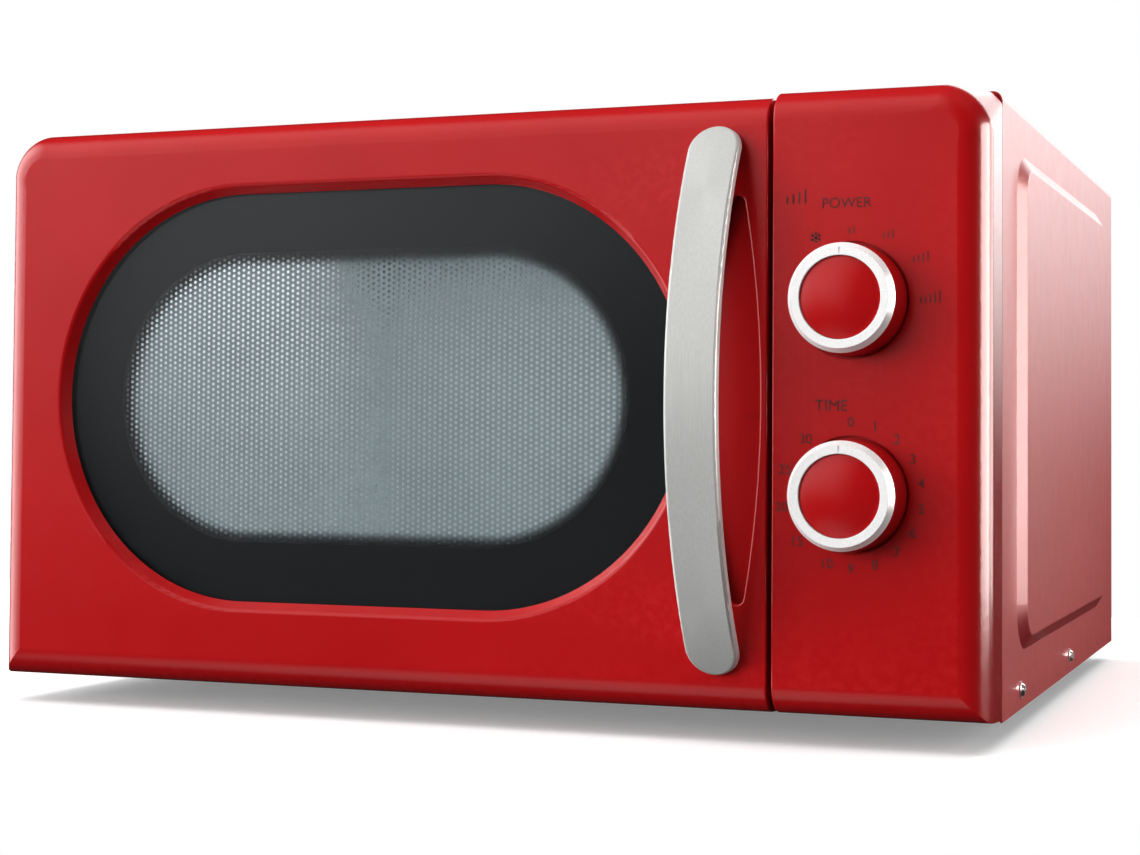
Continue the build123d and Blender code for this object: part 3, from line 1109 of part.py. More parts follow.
HANDLE_ROUND = 1.2
HANDLE_POST_RADIUS = 4.5
HANDLE_SCREW_RADIUS = 1.85
HANDLE_SCREW_HEAD = (4.0, 2.4)
HANDLE_SCREW_CROSS = (4.4, 0.9)
handle_radius = (HANDLE_HALF**2 + HANDLE_SAGITTA**2) / (2 * HANDLE_SAGITTA)
handle_side = Plane(origin=(HANDLE_X, FRONT_Y, HANDLE_Z), x_dir=(0, -1, 0), z_dir=(-1, 0, 0))
with BuildPart() as handle:
    with BuildSketch(handle_side):
        with Locations((HANDLE_REACH - handle_radius, 0)):
            Circle(handle_radius)
            Circle(handle_radius - HANDLE_THICKNESS, mode=Mode.SUBTRACT)
        with Locations((-handle_radius, 0)):
            Rectangle(2 * handle_radius, 2 * handle_radius + 9, mode=Mode.SUBTRACT)
    extrude(amount=HANDLE_WIDTH / 2, both=True)
    with BuildSketch(face(-HANDLE_REACH - 1)):
        with Locations((HANDLE_X, HANDLE_Z)):
            SlotOverall(2 * HANDLE_HALF, HANDLE_WIDTH, rotation=90)
    extrude(amount=-(HANDLE_REACH + 1), mode=Mode.INTERSECT)
    fillet(handle.faces().filter_by(GeomType.CYLINDER).sort_by(SortBy.AREA)[-1].edges(), HANDLE_ROUND)
    rod_back(posts, HANDLE_POST_RADIUS, (-HANDLE_POST_RISE, 0))
    rod_back(posts, HANDLE_SCREW_RADIUS + FIT, (-HANDLE_POST_RISE + 0.5, 0), Mode.SUBTRACT)
handle.part.label = "handle"
export_step(handle.part, "parts/handle.step")

with BuildPart() as handle_screws:
    head_radius, head_height = HANDLE_SCREW_HEAD
    rod_back(posts, HANDLE_SCREW_RADIUS, (-HANDLE_POST_RISE + 1.0, FRONT_WALL))
    rod_back(posts, head_radius, (FRONT_WALL, FRONT_WALL + head_height))
    with BuildSketch(face(FRONT_WALL + head_height / 2)):
        with Locations(*posts):
            Rectangle(*HANDLE_SCREW_CROSS)
            Rectangle(*HANDLE_SCREW_CROSS, rotation=90)
    extrude(amount=-head_height / 2, mode=Mode.SUBTRACT)
handle_screws.part.label = "handle_screws"
export_step(handle_screws.part, "parts/handle_screws.step")

# ---------------------------------------------------------------- hinge brackets
HINGE_SHEET = 2.0
HINGE_FLAP = 16.0
for name, arm_z, away in (("upper_hinge", ARM_ZS[0], -1), ("lower_hinge", ARM_ZS[1], 1)):
    back = PLATE_DEPTH + SHEET
    with BuildPart() as bracket:
        block(
            (HINGE_X - ARM_HALF, HINGE_X + ARM_HALF),
            (HINGE_DEPTH, back + HINGE_SHEET),
            (arm_z, arm_z + ARM_THICKNESS),
        )
        rod_up([(HINGE_X, HINGE_DEPTH)], ARM_HALF, (arm_z, arm_z + ARM_THICKNESS))
        plate_zs = (arm_z - HINGE_FLAP, arm_z + ARM_THICKNESS)
        if away > 0:
            plate_zs = (arm_z, arm_z + ARM_THICKNESS + HINGE_FLAP)
        block((HINGE_X - ARM_HALF, CAVITY_LEFT - 4), (back, back + HINGE_SHEET), plate_zs)
        pin_start = arm_z if away < 0 else arm_z + ARM_THICKNESS
        pin_zs = sorted((pin_start, pin_start + away * (SOCKET_LENGTH - 0.5)))
        rod_up([(HINGE_X, HINGE_DEPTH)], HINGE_PIN_RADIUS, pin_zs)
    bracket.part.label = name
    export_step(bracket.part, f"parts/{name}.step")

# ---------------------------------------------------------------- latch and door switches
ARM_RISE = 5.0
NOSE_DROP = 3.0
HOOK_HALF = 2.0
HOOK_END = 58.5
HOOK_NOSE_DEPTHS = (46.0, 50.0)
LATCH_BAR_OVERRUN = 12.0
LEDGE_TOP = ARM_RISE + NOSE_DROP + GAP
SWITCH_SIZE = (10.3, 15.9, 27.8)
PLUNGER_REST = 3.0
PLUNGER_SECTION = (3.2, 4.0)
PLUNGER_INSET = 4.0
latch_xs = (LATCH_X - HOOK_HALF, LATCH_X + HOOK_HALF)
with BuildPart() as latch_bar:
    block(latch_xs, LATCH_BAR_DEPTHS, (LATCH_ZS[0] - LATCH_BAR_OVERRUN, LATCH_ZS[1] + LATCH_BAR_OVERRUN))
    for z in LATCH_ZS:
        block(latch_xs, (LATCH_BAR_DEPTHS[0], HOOK_END), (z - ARM_RISE, z + ARM_RISE))
        with BuildSketch(side_plane(latch_xs[0], 0, 0)):
            with BuildLine():
                Polyline(
                    (HOOK_NOSE_DEPTHS[0], z - ARM_RISE),
                    (HOOK_NOSE_DEPTHS[0], z - ARM_RISE - NOSE_DROP),
                    (HOOK_NOSE_DEPTHS[1], z - ARM_RISE - NOSE_DROP),
                    (HOOK_END, z - ARM_RISE + 2),
                    close=True,
                )
            make_face()
        extrude(amount=2 * HOOK_HALF)
latch_bar.part.label = "latch_bar"
export_step(latch_bar.part, "parts/latch_bar.step")

SPRING_RADIUS = 2.2
SPRING_WIRE = 0.35
SPRING_TURNS = 7
spring_zs = (LATCH_ZS[1] + LATCH_BAR_OVERRUN + SPRING_WIRE, SPRING_LEDGE[0] - SPRING_WIRE)
spring_depth = sum(LATCH_BAR_DEPTHS) / 2
with BuildPart() as latch_spring:
    spring_height = spring_zs[1] - spring_zs[0]
    with BuildLine() as spring_path:
        Helix(
            spring_height / SPRING_TURNS,
            spring_height,
            SPRING_RADIUS,
            center=(LATCH_X, FRONT_Y + spring_depth, spring_zs[0]),
        )
    with BuildSketch(Plane(origin=spring_path.line @ 0, z_dir=spring_path.line % 0)):
        Circle(SPRING_WIRE)
    sweep()
latch_spring.part.label = "latch_spring"
export_step(latch_spring.part, "parts/latch_spring.step")

BRACKET_XS = (117.0, 120.0)
BRACKET_BACK = 79.0
BRACKET_ZS = (LATCH_ZS[0] - 34, LATCH_ZS[1] + 20)
BRACKET_SHELF = 4.0
LATCH_SHELF_DEPTHS = (34.0, 40.0)
LATCH_SHELF_RIGHT = 137.0
BRACKET_TAB_RIGHT = 140.0
BRACKET_TAB_BACK = 44.0
with BuildPart() as interlock_bracket:
    plate_back = PLATE_DEPTH + SHEET
    block(BRACKET_XS, (plate_back, BRACKET_BACK), BRACKET_ZS)
    for z in LATCH_ZS:
        shelf_zs = (z - LEDGE_TOP - BRACKET_SHELF, z - LEDGE_TOP)
        block((BRACKET_XS[1], LATCH_SHELF_RIGHT), LATCH_SHELF_DEPTHS, shelf_zs)
    for z in (BRACKET_ZS[0], BRACKET_ZS[1] - BRACKET_SHELF):
        block((BRACKET_XS[0], BRACKET_TAB_RIGHT), (plate_back, BRACKET_TAB_BACK), (z, z + BRACKET_SHELF))
interlock_bracket.part.label = "interlock_bracket"
export_step(interlock_bracket.part, "parts/interlock_bracket.step")

switch_depth = HOOK_END + GAP + PLUNGER_REST
SWITCH_STANDOFF = 5.6
switch_xs = (BRACKET_XS[1] + SWITCH_STANDOFF, BRACKET_XS[1] + SWITCH_STANDOFF + SWITCH_SIZE[0])
monitor_top = LATCH_ZS[0] - LEDGE_TOP - PLUNGER_REST
MONITOR_FRONT = 41.0
MONITOR_PLUNGER_DEPTH = 48.0
PLUNGER_SLACK = 0.15
PLUNGER_WELL = 6.0
SWITCH_PIN = 3.0
SWITCH_PIN_INSET = 10.0
MONITOR_PIN_DEPTHS = (58.0, 58.0 + SWITCH_PIN)
with BuildPart() as door_switches:
    well_xs = around(LATCH_X, PLUNGER_SECTION[0] / 2 + PLUNGER_SLACK)
    well_half = PLUNGER_SECTION[1] / 2 + PLUNGER_SLACK
    pin_xs = (BRACKET_XS[1], switch_xs[0])
    for z in LATCH_ZS:
        block(switch_xs, (switch_depth, switch_depth + SWITCH_SIZE[1]), around(z, SWITCH_SIZE[2] / 2))
        block(well_xs, (switch_depth, switch_depth + PLUNGER_WELL), around(z, well_half), Mode.SUBTRACT)
        pin_depths = around(switch_depth + SWITCH_PIN_INSET + SWITCH_PIN / 2, SWITCH_PIN / 2)
        for pin_z in around(z, SWITCH_PIN_INSET):
            block(pin_xs, pin_depths, around(pin_z, SWITCH_PIN / 2))
    monitor_depths = (MONITOR_FRONT, MONITOR_FRONT + SWITCH_SIZE[2])
    well_depths = around(MONITOR_PLUNGER_DEPTH, well_half)
    block(switch_xs, monitor_depths, (monitor_top - SWITCH_SIZE[1], monitor_top))
    block(well_xs, well_depths, (monitor_top - PLUNGER_WELL, monitor_top), Mode.SUBTRACT)
    pin_top = monitor_top - SWITCH_PIN_INSET
    block(pin_xs, MONITOR_PIN_DEPTHS, (pin_top - SWITCH_PIN, pin_top))
door_switches.part.label = "door_switches"
export_step(door_switches.part, "parts/door_switches.step")

plunger_xs = around(LATCH_X, PLUNGER_SECTION[0] / 2)
for name, z in (("upper_switch_plunger", LATCH_ZS[1]), ("lower_switch_plunger", LATCH_ZS[0])):
    with BuildPart() as plunger:
        plunger_depths = (switch_depth - PLUNGER_REST, switch_depth + PLUNGER_INSET)
        block(plunger_xs, plunger_depths, around(z, PLUNGER_SECTION[1] / 2))
    plunger.part.label = name
    export_step(plunger.part, f"parts/{name}.step")

with BuildPart() as monitor_plunger:
    plunger_depths = around(MONITOR_PLUNGER_DEPTH, PLUNGER_SECTION[1] / 2)
    block(plunger_xs, plunger_depths, (monitor_top - PLUNGER_INSET, monitor_top + PLUNGER_REST))
monitor_plunger.part.label = "monitor_switch_plunger"
export_step(monitor_plunger.part, "parts/monitor_switch_plunger.step")

# ---------------------------------------------------------------- turntable
ROLLER_WIDTH = 6.0
ROLLER_BORE = 2.0
ROLLER_COUNT = 3
ring_z = CAVITY_FLOOR + GAP + ROLLER_RADIUS
tray_z = ring_z + ROLLER_RADIUS + GAP
TRAY_RADIUS = 122.5
COUPLER_TOP = tray_z - GAP
COUPLER_HUB = 6.0
COUPLER_ARM = (6.0, 15.0)
COUPLER_ARM_LIFT = 6.0
turntable_axis = upright(*table_point)


def spoke_plane(degrees_round, radius, z):
    """Plane across a spoke of the turntable, facing outwards, at a radius and a height. Its y is up."""
    turn = radians(degrees_round)
    outward = (cos(turn), sin(turn), 0)
    origin = (table_centre[0] + radius * cos(turn), table_centre[1] + radius * sin(turn), z)
    return Plane(origin=origin, x_dir=(-sin(turn), cos(turn), 0), z_dir=outward)


with BuildPart() as turntable_coupler:
    rod_up([table_point], COUPLER_HUB, (CAVITY_FLOOR + 2.0, COUPLER_TOP))
    arm_width, arm_length = COUPLER_ARM
    arm_height = COUPLER_TOP - CAVITY_FLOOR - COUPLER_ARM_LIFT
    for index in range(ROLLER_COUNT):
        arm_plane = spoke_plane(30 + index * 120, 0, CAVITY_FLOOR + COUPLER_ARM_LIFT)
        with BuildSketch(arm_plane):
            with Locations((0, arm_height / 2)):
                Rectangle(arm_width, arm_height)
        extrude(amount=arm_length)
    rod_up([table_point], SPINDLE_RADIUS, (CAVITY_FLOOR, COUPLER_TOP - 3), Mode.SUBTRACT)
turntable_coupler.part.label = "turntable_coupler"
export_step(turntable_coupler.part, "parts/turntable_coupler.step")

with BuildPart() as turntable_spindle:
    rod_up([table_point], SPINDLE_RADIUS, (MOTOR_ZS[0] + 5, COUPLER_TOP - 3))
turntable_spindle.part.label = "turntable_spindle"
export_step(turntable_spindle.part, "parts/turntable_spindle.step")

TRAY_THICKNESS = 4.5
TRAY_RIM = 13.0
TRAY_LIP = (3.0, 2.5)
TRAY_FLAT = (104.0, 101.0)
TRAY_LUG = 2.6
with BuildPart() as glass_tray:
    with BuildSketch(turned(*table_point)):
        with BuildLine():
            Polyline(
                (0, tray_z + TRAY_THICKNESS),
                (0, tray_z),
                (TRAY_FLAT[0], tray_z),
                (TRAY_FLAT[0] + 4, tray_z + 1.5),
                (TRAY_RADIUS, tray_z + TRAY_RIM),
                (TRAY_RADIUS, tray_z + TRAY_RIM + TRAY_LIP[1]),
                (TRAY_RADIUS - TRAY_LIP[0], tray_z + TRAY_RIM + TRAY_LIP[1]),
                (TRAY_FLAT[1] + 4, tray_z + TRAY_THICKNESS + 1.0),
                (TRAY_FLAT[1], tray_z + TRAY_THICKNESS),
                close=True,
            )
        make_face()
    revolve(axis=turntable_axis)
    with BuildSketch(level(tray_z)):
        with Locations(table_centre):
            with PolarLocations(2 * COUPLER_HUB, ROLLER_COUNT, start_angle=90):
                Circle(TRAY_LUG)
    extrude(amount=-6.0)
glass_tray.part.label = "glass_tray"
export_step(glass_tray.part, "parts/glass_tray.step")

RING_RADIUS = 88.0
RING_SECTION = (6.0, 5.0)
AXLE_END = ROLLER_TRACK + ROLLER_WIDTH / 2 + 2.5
AXLE_CAP = 1.5
with BuildPart() as roller_ring:
    with BuildSketch(turned(*table_point)):
        with Locations((RING_RADIUS, ring_z)):
            RectangleRounded(*RING_SECTION, 1.2)
    revolve(axis=turntable_axis)
    for index in range(ROLLER_COUNT):
        with BuildSketch(spoke_plane(90 + index * 120, RING_RADIUS, ring_z)):
            Circle(ROLLER_BORE)
        extrude(amount=AXLE_END - RING_RADIUS)
        with BuildSketch(spoke_plane(90 + index * 120, AXLE_END - AXLE_CAP, ring_z)):
            Circle(ROLLER_BORE + 1.0)
        extrude(amount=AXLE_CAP)
roller_ring.part.label = "roller_ring"
export_step(roller_ring.part, "parts/roller_ring.step")

for index in range(ROLLER_COUNT):
    roller_plane = spoke_plane(90 + index * 120, ROLLER_TRACK - ROLLER_WIDTH / 2, ring_z)
    with BuildPart() as roller:
        with BuildSketch(roller_plane):
            Circle(ROLLER_RADIUS)
        extrude(amount=ROLLER_WIDTH)
        fillet(roller.edges(), 0.8)
        with BuildSketch(roller_plane):
            Circle(ROLLER_BORE + FIT)
        extrude(amount=ROLLER_WIDTH, mode=Mode.SUBTRACT)
    roller.part.label = f"roller_{index + 1}"
    export_step(roller.part, f"parts/roller_{index + 1}.step")
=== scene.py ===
import json
import math

import bmesh
import bpy
from mathutils import Euler, Matrix, Vector


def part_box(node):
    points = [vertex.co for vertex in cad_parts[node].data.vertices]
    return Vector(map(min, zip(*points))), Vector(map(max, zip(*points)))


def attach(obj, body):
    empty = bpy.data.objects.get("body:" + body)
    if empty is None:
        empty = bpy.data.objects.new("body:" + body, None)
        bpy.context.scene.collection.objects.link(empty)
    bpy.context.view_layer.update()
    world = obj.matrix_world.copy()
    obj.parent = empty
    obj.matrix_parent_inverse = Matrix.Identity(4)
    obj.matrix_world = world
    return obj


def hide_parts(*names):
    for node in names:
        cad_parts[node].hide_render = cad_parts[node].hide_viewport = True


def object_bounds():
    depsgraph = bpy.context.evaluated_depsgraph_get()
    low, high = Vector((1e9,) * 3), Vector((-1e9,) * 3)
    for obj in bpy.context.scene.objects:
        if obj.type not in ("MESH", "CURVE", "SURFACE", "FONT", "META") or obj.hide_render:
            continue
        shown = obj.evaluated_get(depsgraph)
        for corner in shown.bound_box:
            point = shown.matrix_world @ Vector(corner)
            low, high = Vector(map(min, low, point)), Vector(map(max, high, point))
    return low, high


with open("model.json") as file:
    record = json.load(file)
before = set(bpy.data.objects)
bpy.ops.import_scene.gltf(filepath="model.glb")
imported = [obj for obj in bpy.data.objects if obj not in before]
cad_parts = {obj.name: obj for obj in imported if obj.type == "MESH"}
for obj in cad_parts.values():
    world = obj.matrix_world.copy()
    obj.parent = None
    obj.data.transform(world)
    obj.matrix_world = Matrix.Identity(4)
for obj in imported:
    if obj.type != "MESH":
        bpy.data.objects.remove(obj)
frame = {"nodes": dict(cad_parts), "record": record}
cad_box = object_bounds()

# Looks of a countertop microwave oven: a red door and panel, a bowed brushed handle, two dials and a
# stadium window with a punched screen. Metres. The front faces -Y.

MM = 0.001
door_low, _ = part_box("door_frame")
panel_low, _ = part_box("control_panel")
cover_low, cover_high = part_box("cabinet_wrap")
glass_low, glass_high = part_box("door_glass")
screen_low, screen_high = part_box("door_screen")
cavity_low, cavity_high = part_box("oven_cavity")
FACE_Y = door_low.y
CABINET_BOTTOM = cover_low.z
window_middle = (glass_low + glass_high) / 2
WINDOW_HALF_SPAN = (glass_high.x - glass_low.x - (glass_high.z - glass_low.z)) / 2
GLASS_RADIUS = (glass_high.z - glass_low.z) / 2


# ---------------------------------------------------------------- materials
def material(name):
    """A new node material. Returns it with its tree, its Principled shader and its output."""
    made = bpy.data.materials.new(name)
    made.use_nodes = True
    tree = made.node_tree
    shader = tree.nodes["Principled BSDF"]
    output = tree.nodes["Material Output"]
    return made, tree, shader, output


def position(tree, scale=(1.0, 1.0, 1.0)):
    """Object coordinates, in metres, stretched by a scale."""
    source = tree.nodes.new("ShaderNodeTexCoord")
    mapping = tree.nodes.new("ShaderNodeMapping")
    mapping.inputs["Scale"].default_value = scale
    tree.links.new(source.outputs["Object"], mapping.inputs["Vector"])
    return mapping.outputs["Vector"]


def noise(tree, vector, scale, detail=3.0, roughness=0.5):
    """Noise value over the surface."""
    node = tree.nodes.new("ShaderNodeTexNoise")
    node.inputs["Scale"].default_value = scale
    node.inputs["Detail"].default_value = detail
    node.inputs["Roughness"].default_value = roughness
    tree.links.new(vector, node.inputs["Vector"])
    return node.outputs["Fac"]


def ramp(tree, value, stops):
    """Colour ramp from (place, colour) stops. A colour is three numbers, or one for a grey."""
    node = tree.nodes.new("ShaderNodeValToRGB")
    elements = node.color_ramp.elements
    while len(elements) < len(stops):
        elements.new(0.5)
    for element, (place, colour) in zip(elements, stops):
        element.position = place
        rgb = colour if isinstance(colour, tuple) else (colour,) * 3
        element.color = (*rgb, 1.0)
    tree.links.new(value, node.inputs["Fac"])
    return node.outputs["Color"]


def stretch(tree, value, low, high):
    """Maps a value from 0 to 1 onto a range."""
    node = tree.nodes.new("ShaderNodeMapRange")
    node.inputs["To Min"].default_value = low
    node.inputs["To Max"].default_value = high
    tree.links.new(value, node.inputs["Value"])
    return node.outputs["Result"]


def bump(tree, shader, value, strength, distance):
    """Adds relief to a shader, on top of any that it has."""
    node = tree.nodes.new("ShaderNodeBump")
    node.inputs["Strength"].default_value = strength
    node.inputs["Distance"].default_value = distance
    tree.links.new(value, node.inputs["Height"])
    if shader.inputs["Normal"].is_linked:
        tree.links.new(shader.inputs["Normal"].links[0].from_socket, node.inputs["Normal"])
    tree.links.new(node.outputs["Normal"], shader.inputs["Normal"])


def combined(tree, operation, first, second=0.0):
    """Value worked out from one or two values, each a socket or a number."""
    node = tree.nodes.new("ShaderNodeMath")
    node.operation = operation
    for socket, value in zip(node.inputs, (first, second)):
        if isinstance(value, float):
            socket.default_value = value
        else:
            tree.links.new(value, socket)
    return node.outputs["Value"]


def mixed(tree, factor, first, second):
    """Mixes two colours, each a socket or three numbers."""
    node = tree.nodes.new("ShaderNodeMix")
    node.data_type = "RGBA"
    tree.links.new(factor, node.inputs["Factor"])
    for socket, colour in ((node.inputs["A"], first), (node.inputs["B"], second)):
        if isinstance(colour, tuple):
            socket.default_value = (*colour, 1.0)
        else:
            tree.links.new(colour, socket)
    return node.outputs["Result"]


def worn_edges(tree, colour, worn, amount):
    """Lightens a colour a little along sharp outer edges, broken up by noise."""
    geometry = tree.nodes.new("ShaderNodeNewGeometry")
    edge = ramp(tree, geometry.outputs["Pointiness"], [(0.52, 0.0), (0.60, 1.0)])
    speckle = ramp(tree, noise(tree, position(tree), 260.0), [(0.42, 0.0), (0.62, 1.0)])
    both = combined(tree, "MULTIPLY", edge, speckle)
    return mixed(tree, stretch(tree, both, 0.0, amount), colour, worn)


def gloss_red(name, light, dark, rough, coat, coat_rough, peel, reflect=0.5):
    """Glossy red, slightly uneven, with the fine ripple of moulded or baked gloss."""
    made, tree, shader, _ = material(name)
    vector = position(tree)
    patches = ramp(tree, noise(tree, vector, 14.0, 2.0), [(0.3, dark), (0.7, light)])
    colour = worn_edges(tree, patches, tuple(min(1.0, 1.5 * c + 0.02) for c in light), 0.25)
    tree.links.new(colour, shader.inputs["Base Color"])
    uneven = stretch(tree, noise(tree, vector, 90.0, 4.0), rough - 0.04, rough + 0.05)
    tree.links.new(uneven, shader.inputs["Roughness"])
    shader.inputs["Specular IOR Level"].default_value = reflect
    shader.inputs["Coat Weight"].default_value = coat
    shader.inputs["Coat Roughness"].default_value = coat_rough
    bump(tree, shader, noise(tree, vector, 420.0, 2.0), peel, 0.0002)
    return made


def brushed_metal(name, colour, along, rough, depth=0.25, metallic=1.0):
    """Metal with fine brush lines along one axis."""
    made, tree, shader, _ = material(name)
    scale = tuple(18.0 if axis == along else 2600.0 for axis in "xyz")
    lines = noise(tree, position(tree, scale), 1.0, 4.0, 0.6)
    dark = tuple(c * 0.86 for c in colour)
    tree.links.new(ramp(tree, lines, [(0.35, dark), (0.65, colour)]), shader.inputs["Base Color"])
    tree.links.new(stretch(tree, lines, rough - 0.06, rough + 0.08), shader.inputs["Roughness"])
    shader.inputs["Metallic"].default_value = metallic
    shader.inputs["Anisotropic"].default_value = 0.5
    bump(tree, shader, lines, depth, 0.00005)
    return made


def zinc(name, colour, rough):
    """Galvanised sheet with its patchy crystals."""
    made, tree, shader, _ = material(name)
    vector = position(tree)
    cells = tree.nodes.new("ShaderNodeTexVoronoi")
    cells.inputs["Scale"].default_value = 110.0
    tree.links.new(vector, cells.inputs["Vector"])
    dark = tuple(c * 0.82 for c in colour)
    spangle = ramp(tree, cells.outputs["Color"], [(0.2, dark), (0.8, colour)])
    tree.links.new(spangle, shader.inputs["Base Color"])
    uneven = stretch(tree, noise(tree, vector, 60.0), rough - 0.08, rough + 0.1)
    tree.links.new(uneven, shader.inputs["Roughness"])
    shader.inputs["Metallic"].default_value = 0.9
    bump(tree, shader, cells.outputs["Distance"], 0.08, 0.0002)
    return made


def moulded(name, colour, rough, grain=900.0, relief=0.25):
    """Moulded plastic with a fine grain."""
    made, tree, shader, _ = material(name)
    vector = position(tree)
    dark = tuple(c * 0.85 for c in colour)
    patches = ramp(tree, noise(tree, vector, 30.0), [(0.3, dark), (0.7, colour)])
    worn = tuple(min(1.0, c * 1.3 + 0.03) for c in colour)
    tree.links.new(worn_edges(tree, patches, worn, 0.4), shader.inputs["Base Color"])
    uneven = stretch(tree, noise(tree, vector, 200.0), rough - 0.07, rough + 0.07)
    tree.links.new(uneven, shader.inputs["Roughness"])
    bump(tree, shader, noise(tree, vector, grain, 2.0), relief, 0.0001)
    return made


def enamel(name, colour, fleck):
    """Baked cavity paint with fine flecks."""
    made, tree, shader, _ = material(name)
    vector = position(tree)
    flecks = ramp(tree, noise(tree, vector, 1100.0, 1.0), [(0.60, colour), (0.68, fleck)])
    haze = ramp(tree, noise(tree, vector, 12.0), [(0.35, 0.0), (0.75, 0.25)])
    tree.links.new(mixed(tree, haze, flecks, tuple(c * 0.9 for c in colour)), shader.inputs["Base Color"])
    tree.links.new(stretch(tree, noise(tree, vector, 40.0), 0.30, 0.42), shader.inputs["Roughness"])
    bump(tree, shader, noise(tree, vector, 700.0), 0.1, 0.0001)
    return made


def clear_glass(name, tint, rough, smudge):
    """Clear glass that lets lamps through, with faint smudges."""
    made, tree, shader, output = material(name)
    vector = position(tree)
    shader.inputs["Base Color"].default_value = (*tint, 1.0)
    shader.inputs["Transmission Weight"].default_value = 1.0
    shader.inputs["IOR"].default_value = 1.45
    prints = ramp(tree, noise(tree, vector, 22.0, 4.0), [(0.45, 0.0), (0.8, 1.0)])
    tree.links.new(stretch(tree, prints, rough, rough + smudge), shader.inputs["Roughness"])
    path = tree.nodes.new("ShaderNodeLightPath")
    through = tree.nodes.new("ShaderNodeBsdfTransparent")
    through.inputs["Color"].default_value = (*tint, 1.0)
    blend = tree.nodes.new("ShaderNodeMixShader")
    tree.links.new(path.outputs["Is Shadow Ray"], blend.inputs["Fac"])
    tree.links.new(shader.outputs["BSDF"], blend.inputs[1])
    tree.links.new(through.outputs["BSDF"], blend.inputs[2])
    tree.links.new(blend.outputs["Shader"], output.inputs["Surface"])
    return made


def windings(name):
    """Enamelled copper wire in close turns."""
    made, tree, shader, _ = material(name)
    turns = tree.nodes.new("ShaderNodeTexWave")
    turns.bands_direction = "Z"
    turns.inputs["Scale"].default_value = 190.0
    turns.inputs["Distortion"].default_value = 0.6
    tree.links.new(position(tree), turns.inputs["Vector"])
    copper = ramp(tree, turns.outputs["Fac"], [(0.2, (0.12, 0.03, 0.01)), (0.7, (0.55, 0.2, 0.07))])
    tree.links.new(copper, shader.inputs["Base Color"])
    shader.inputs["Metallic"].default_value = 0.7
    tree.links.new(stretch(tree, turns.outputs["Fac"], 0.25, 0.45), shader.inputs["Roughness"])
    bump(tree, shader, turns.outputs["Fac"], 0.6, 0.0006)
    return made


def laminations(name):
    """Varnished steel laminations, stacked sideways."""
    made, tree, shader, _ = material(name)
    stack = tree.nodes.new("ShaderNodeTexWave")
    stack.bands_direction = "X"
    stack.inputs["Scale"].default_value = 320.0
    stack.inputs["Distortion"].default_value = 0.3
    tree.links.new(position(tree), stack.inputs["Vector"])
    steel = ramp(tree, stack.outputs["Fac"], [(0.2, (0.03, 0.03, 0.035)), (0.8, (0.16, 0.16, 0.17))])
    tree.links.new(steel, shader.inputs["Base Color"])
    shader.inputs["Metallic"].default_value = 0.6
    tree.links.new(stretch(tree, noise(tree, position(tree), 80.0), 0.35, 0.55), shader.inputs["Roughness"])
    bump(tree, shader, stack.outputs["Fac"], 0.4, 0.0003)
    return made


finishes = {
    "front_red": gloss_red(
        "front_red", (0.40, 0.0050, 0.0065), (0.36, 0.0042, 0.0056), 0.20, 0.12, 0.10, 0.03, 0.3
    ),
    "cover_paint": gloss_red(
        "cover_paint", (0.40, 0.012, 0.012), (0.36, 0.010, 0.010), 0.38, 0.2, 0.2, 0.08, 0.25
    ),
    "brushed_handle": brushed_metal("brushed_handle", (0.52, 0.52, 0.505), "z", 0.45, 0.2, 0.3),
    "bright_ring": brushed_metal("bright_ring", (0.95, 0.94, 0.935), "y", 0.38, 0.1, 0.18),
    "screw_steel": brushed_metal("screw_steel", (0.78, 0.78, 0.77), "x", 0.22, 0.1),
    "aluminium_fin": brushed_metal("aluminium_fin", (0.76, 0.77, 0.78), "y", 0.4),
    "zinc_sheet": zinc("zinc_sheet", (0.62, 0.63, 0.63), 0.42),
    "cavity_enamel": enamel("cavity_enamel", (0.50, 0.51, 0.52), (0.30, 0.31, 0.32)),
    "screen_sheet": moulded("screen_sheet", (0.035, 0.036, 0.038), 0.45),
    "black_plastic": moulded("black_plastic", (0.018, 0.018, 0.019), 0.5),
    "grey_plastic": moulded("grey_plastic", (0.30, 0.30, 0.31), 0.5),
    "white_plastic": moulded("white_plastic", (0.74, 0.73, 0.70), 0.42),
    "circuit_board": moulded("circuit_board", (0.03, 0.16, 0.06), 0.35),
    "core_varnish": laminations("core_varnish"),
    "copper_wire": windings("copper_wire"),
    "lamp_glass": moulded("lamp_glass", (0.85, 0.82, 0.72), 0.25),
    "mica": moulded("mica", (0.52, 0.46, 0.34), 0.35, 300.0),
    "window_glass": clear_glass("window_glass", (0.90, 0.93, 0.94), 0.0, 0.03),
    "clear_film": clear_glass("clear_film", (0.93, 0.95, 0.96), 0.08, 0.06),
    "tray_glass": clear_glass("tray_glass", (0.90, 0.96, 0.95), 0.01, 0.04),
}
slot_of = {row["node"]: row["material_slot"] for row in frame["record"]["subparts"]}
for node, thing in frame["nodes"].items():
    finish = finishes[slot_of[node]]
    if not thing.material_slots:
        thing.data.materials.append(finish)
    for material_slot in thing.material_slots:
        material_slot.material = finish


# ---------------------------------------------------------------- pieces
def piece(name, mesh, finish, body):
    """Puts a mesh in the scene as a named piece that rides on a body."""
    thing = bpy.data.objects.new(name, mesh)
    bpy.context.scene.collection.objects.link(thing)
    thing.data.materials.clear()
    thing.data.materials.append(finish)
    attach(thing, body)
    return thing


def stadium(radius, half_span, steps):
    """Outline points (x, z) of a stadium about the window's middle."""
    points = []
    for side, start in ((1, -90.0), (-1, 90.0)):
        for step in range(steps + 1):
            turn = math.radians(start + 180.0 * step / steps)
            points.append((side * half_span + radius * math.cos(turn), radius * math.sin(turn)))
    return [(window_middle.x + x, window_middle.z + z) for x, z in points]


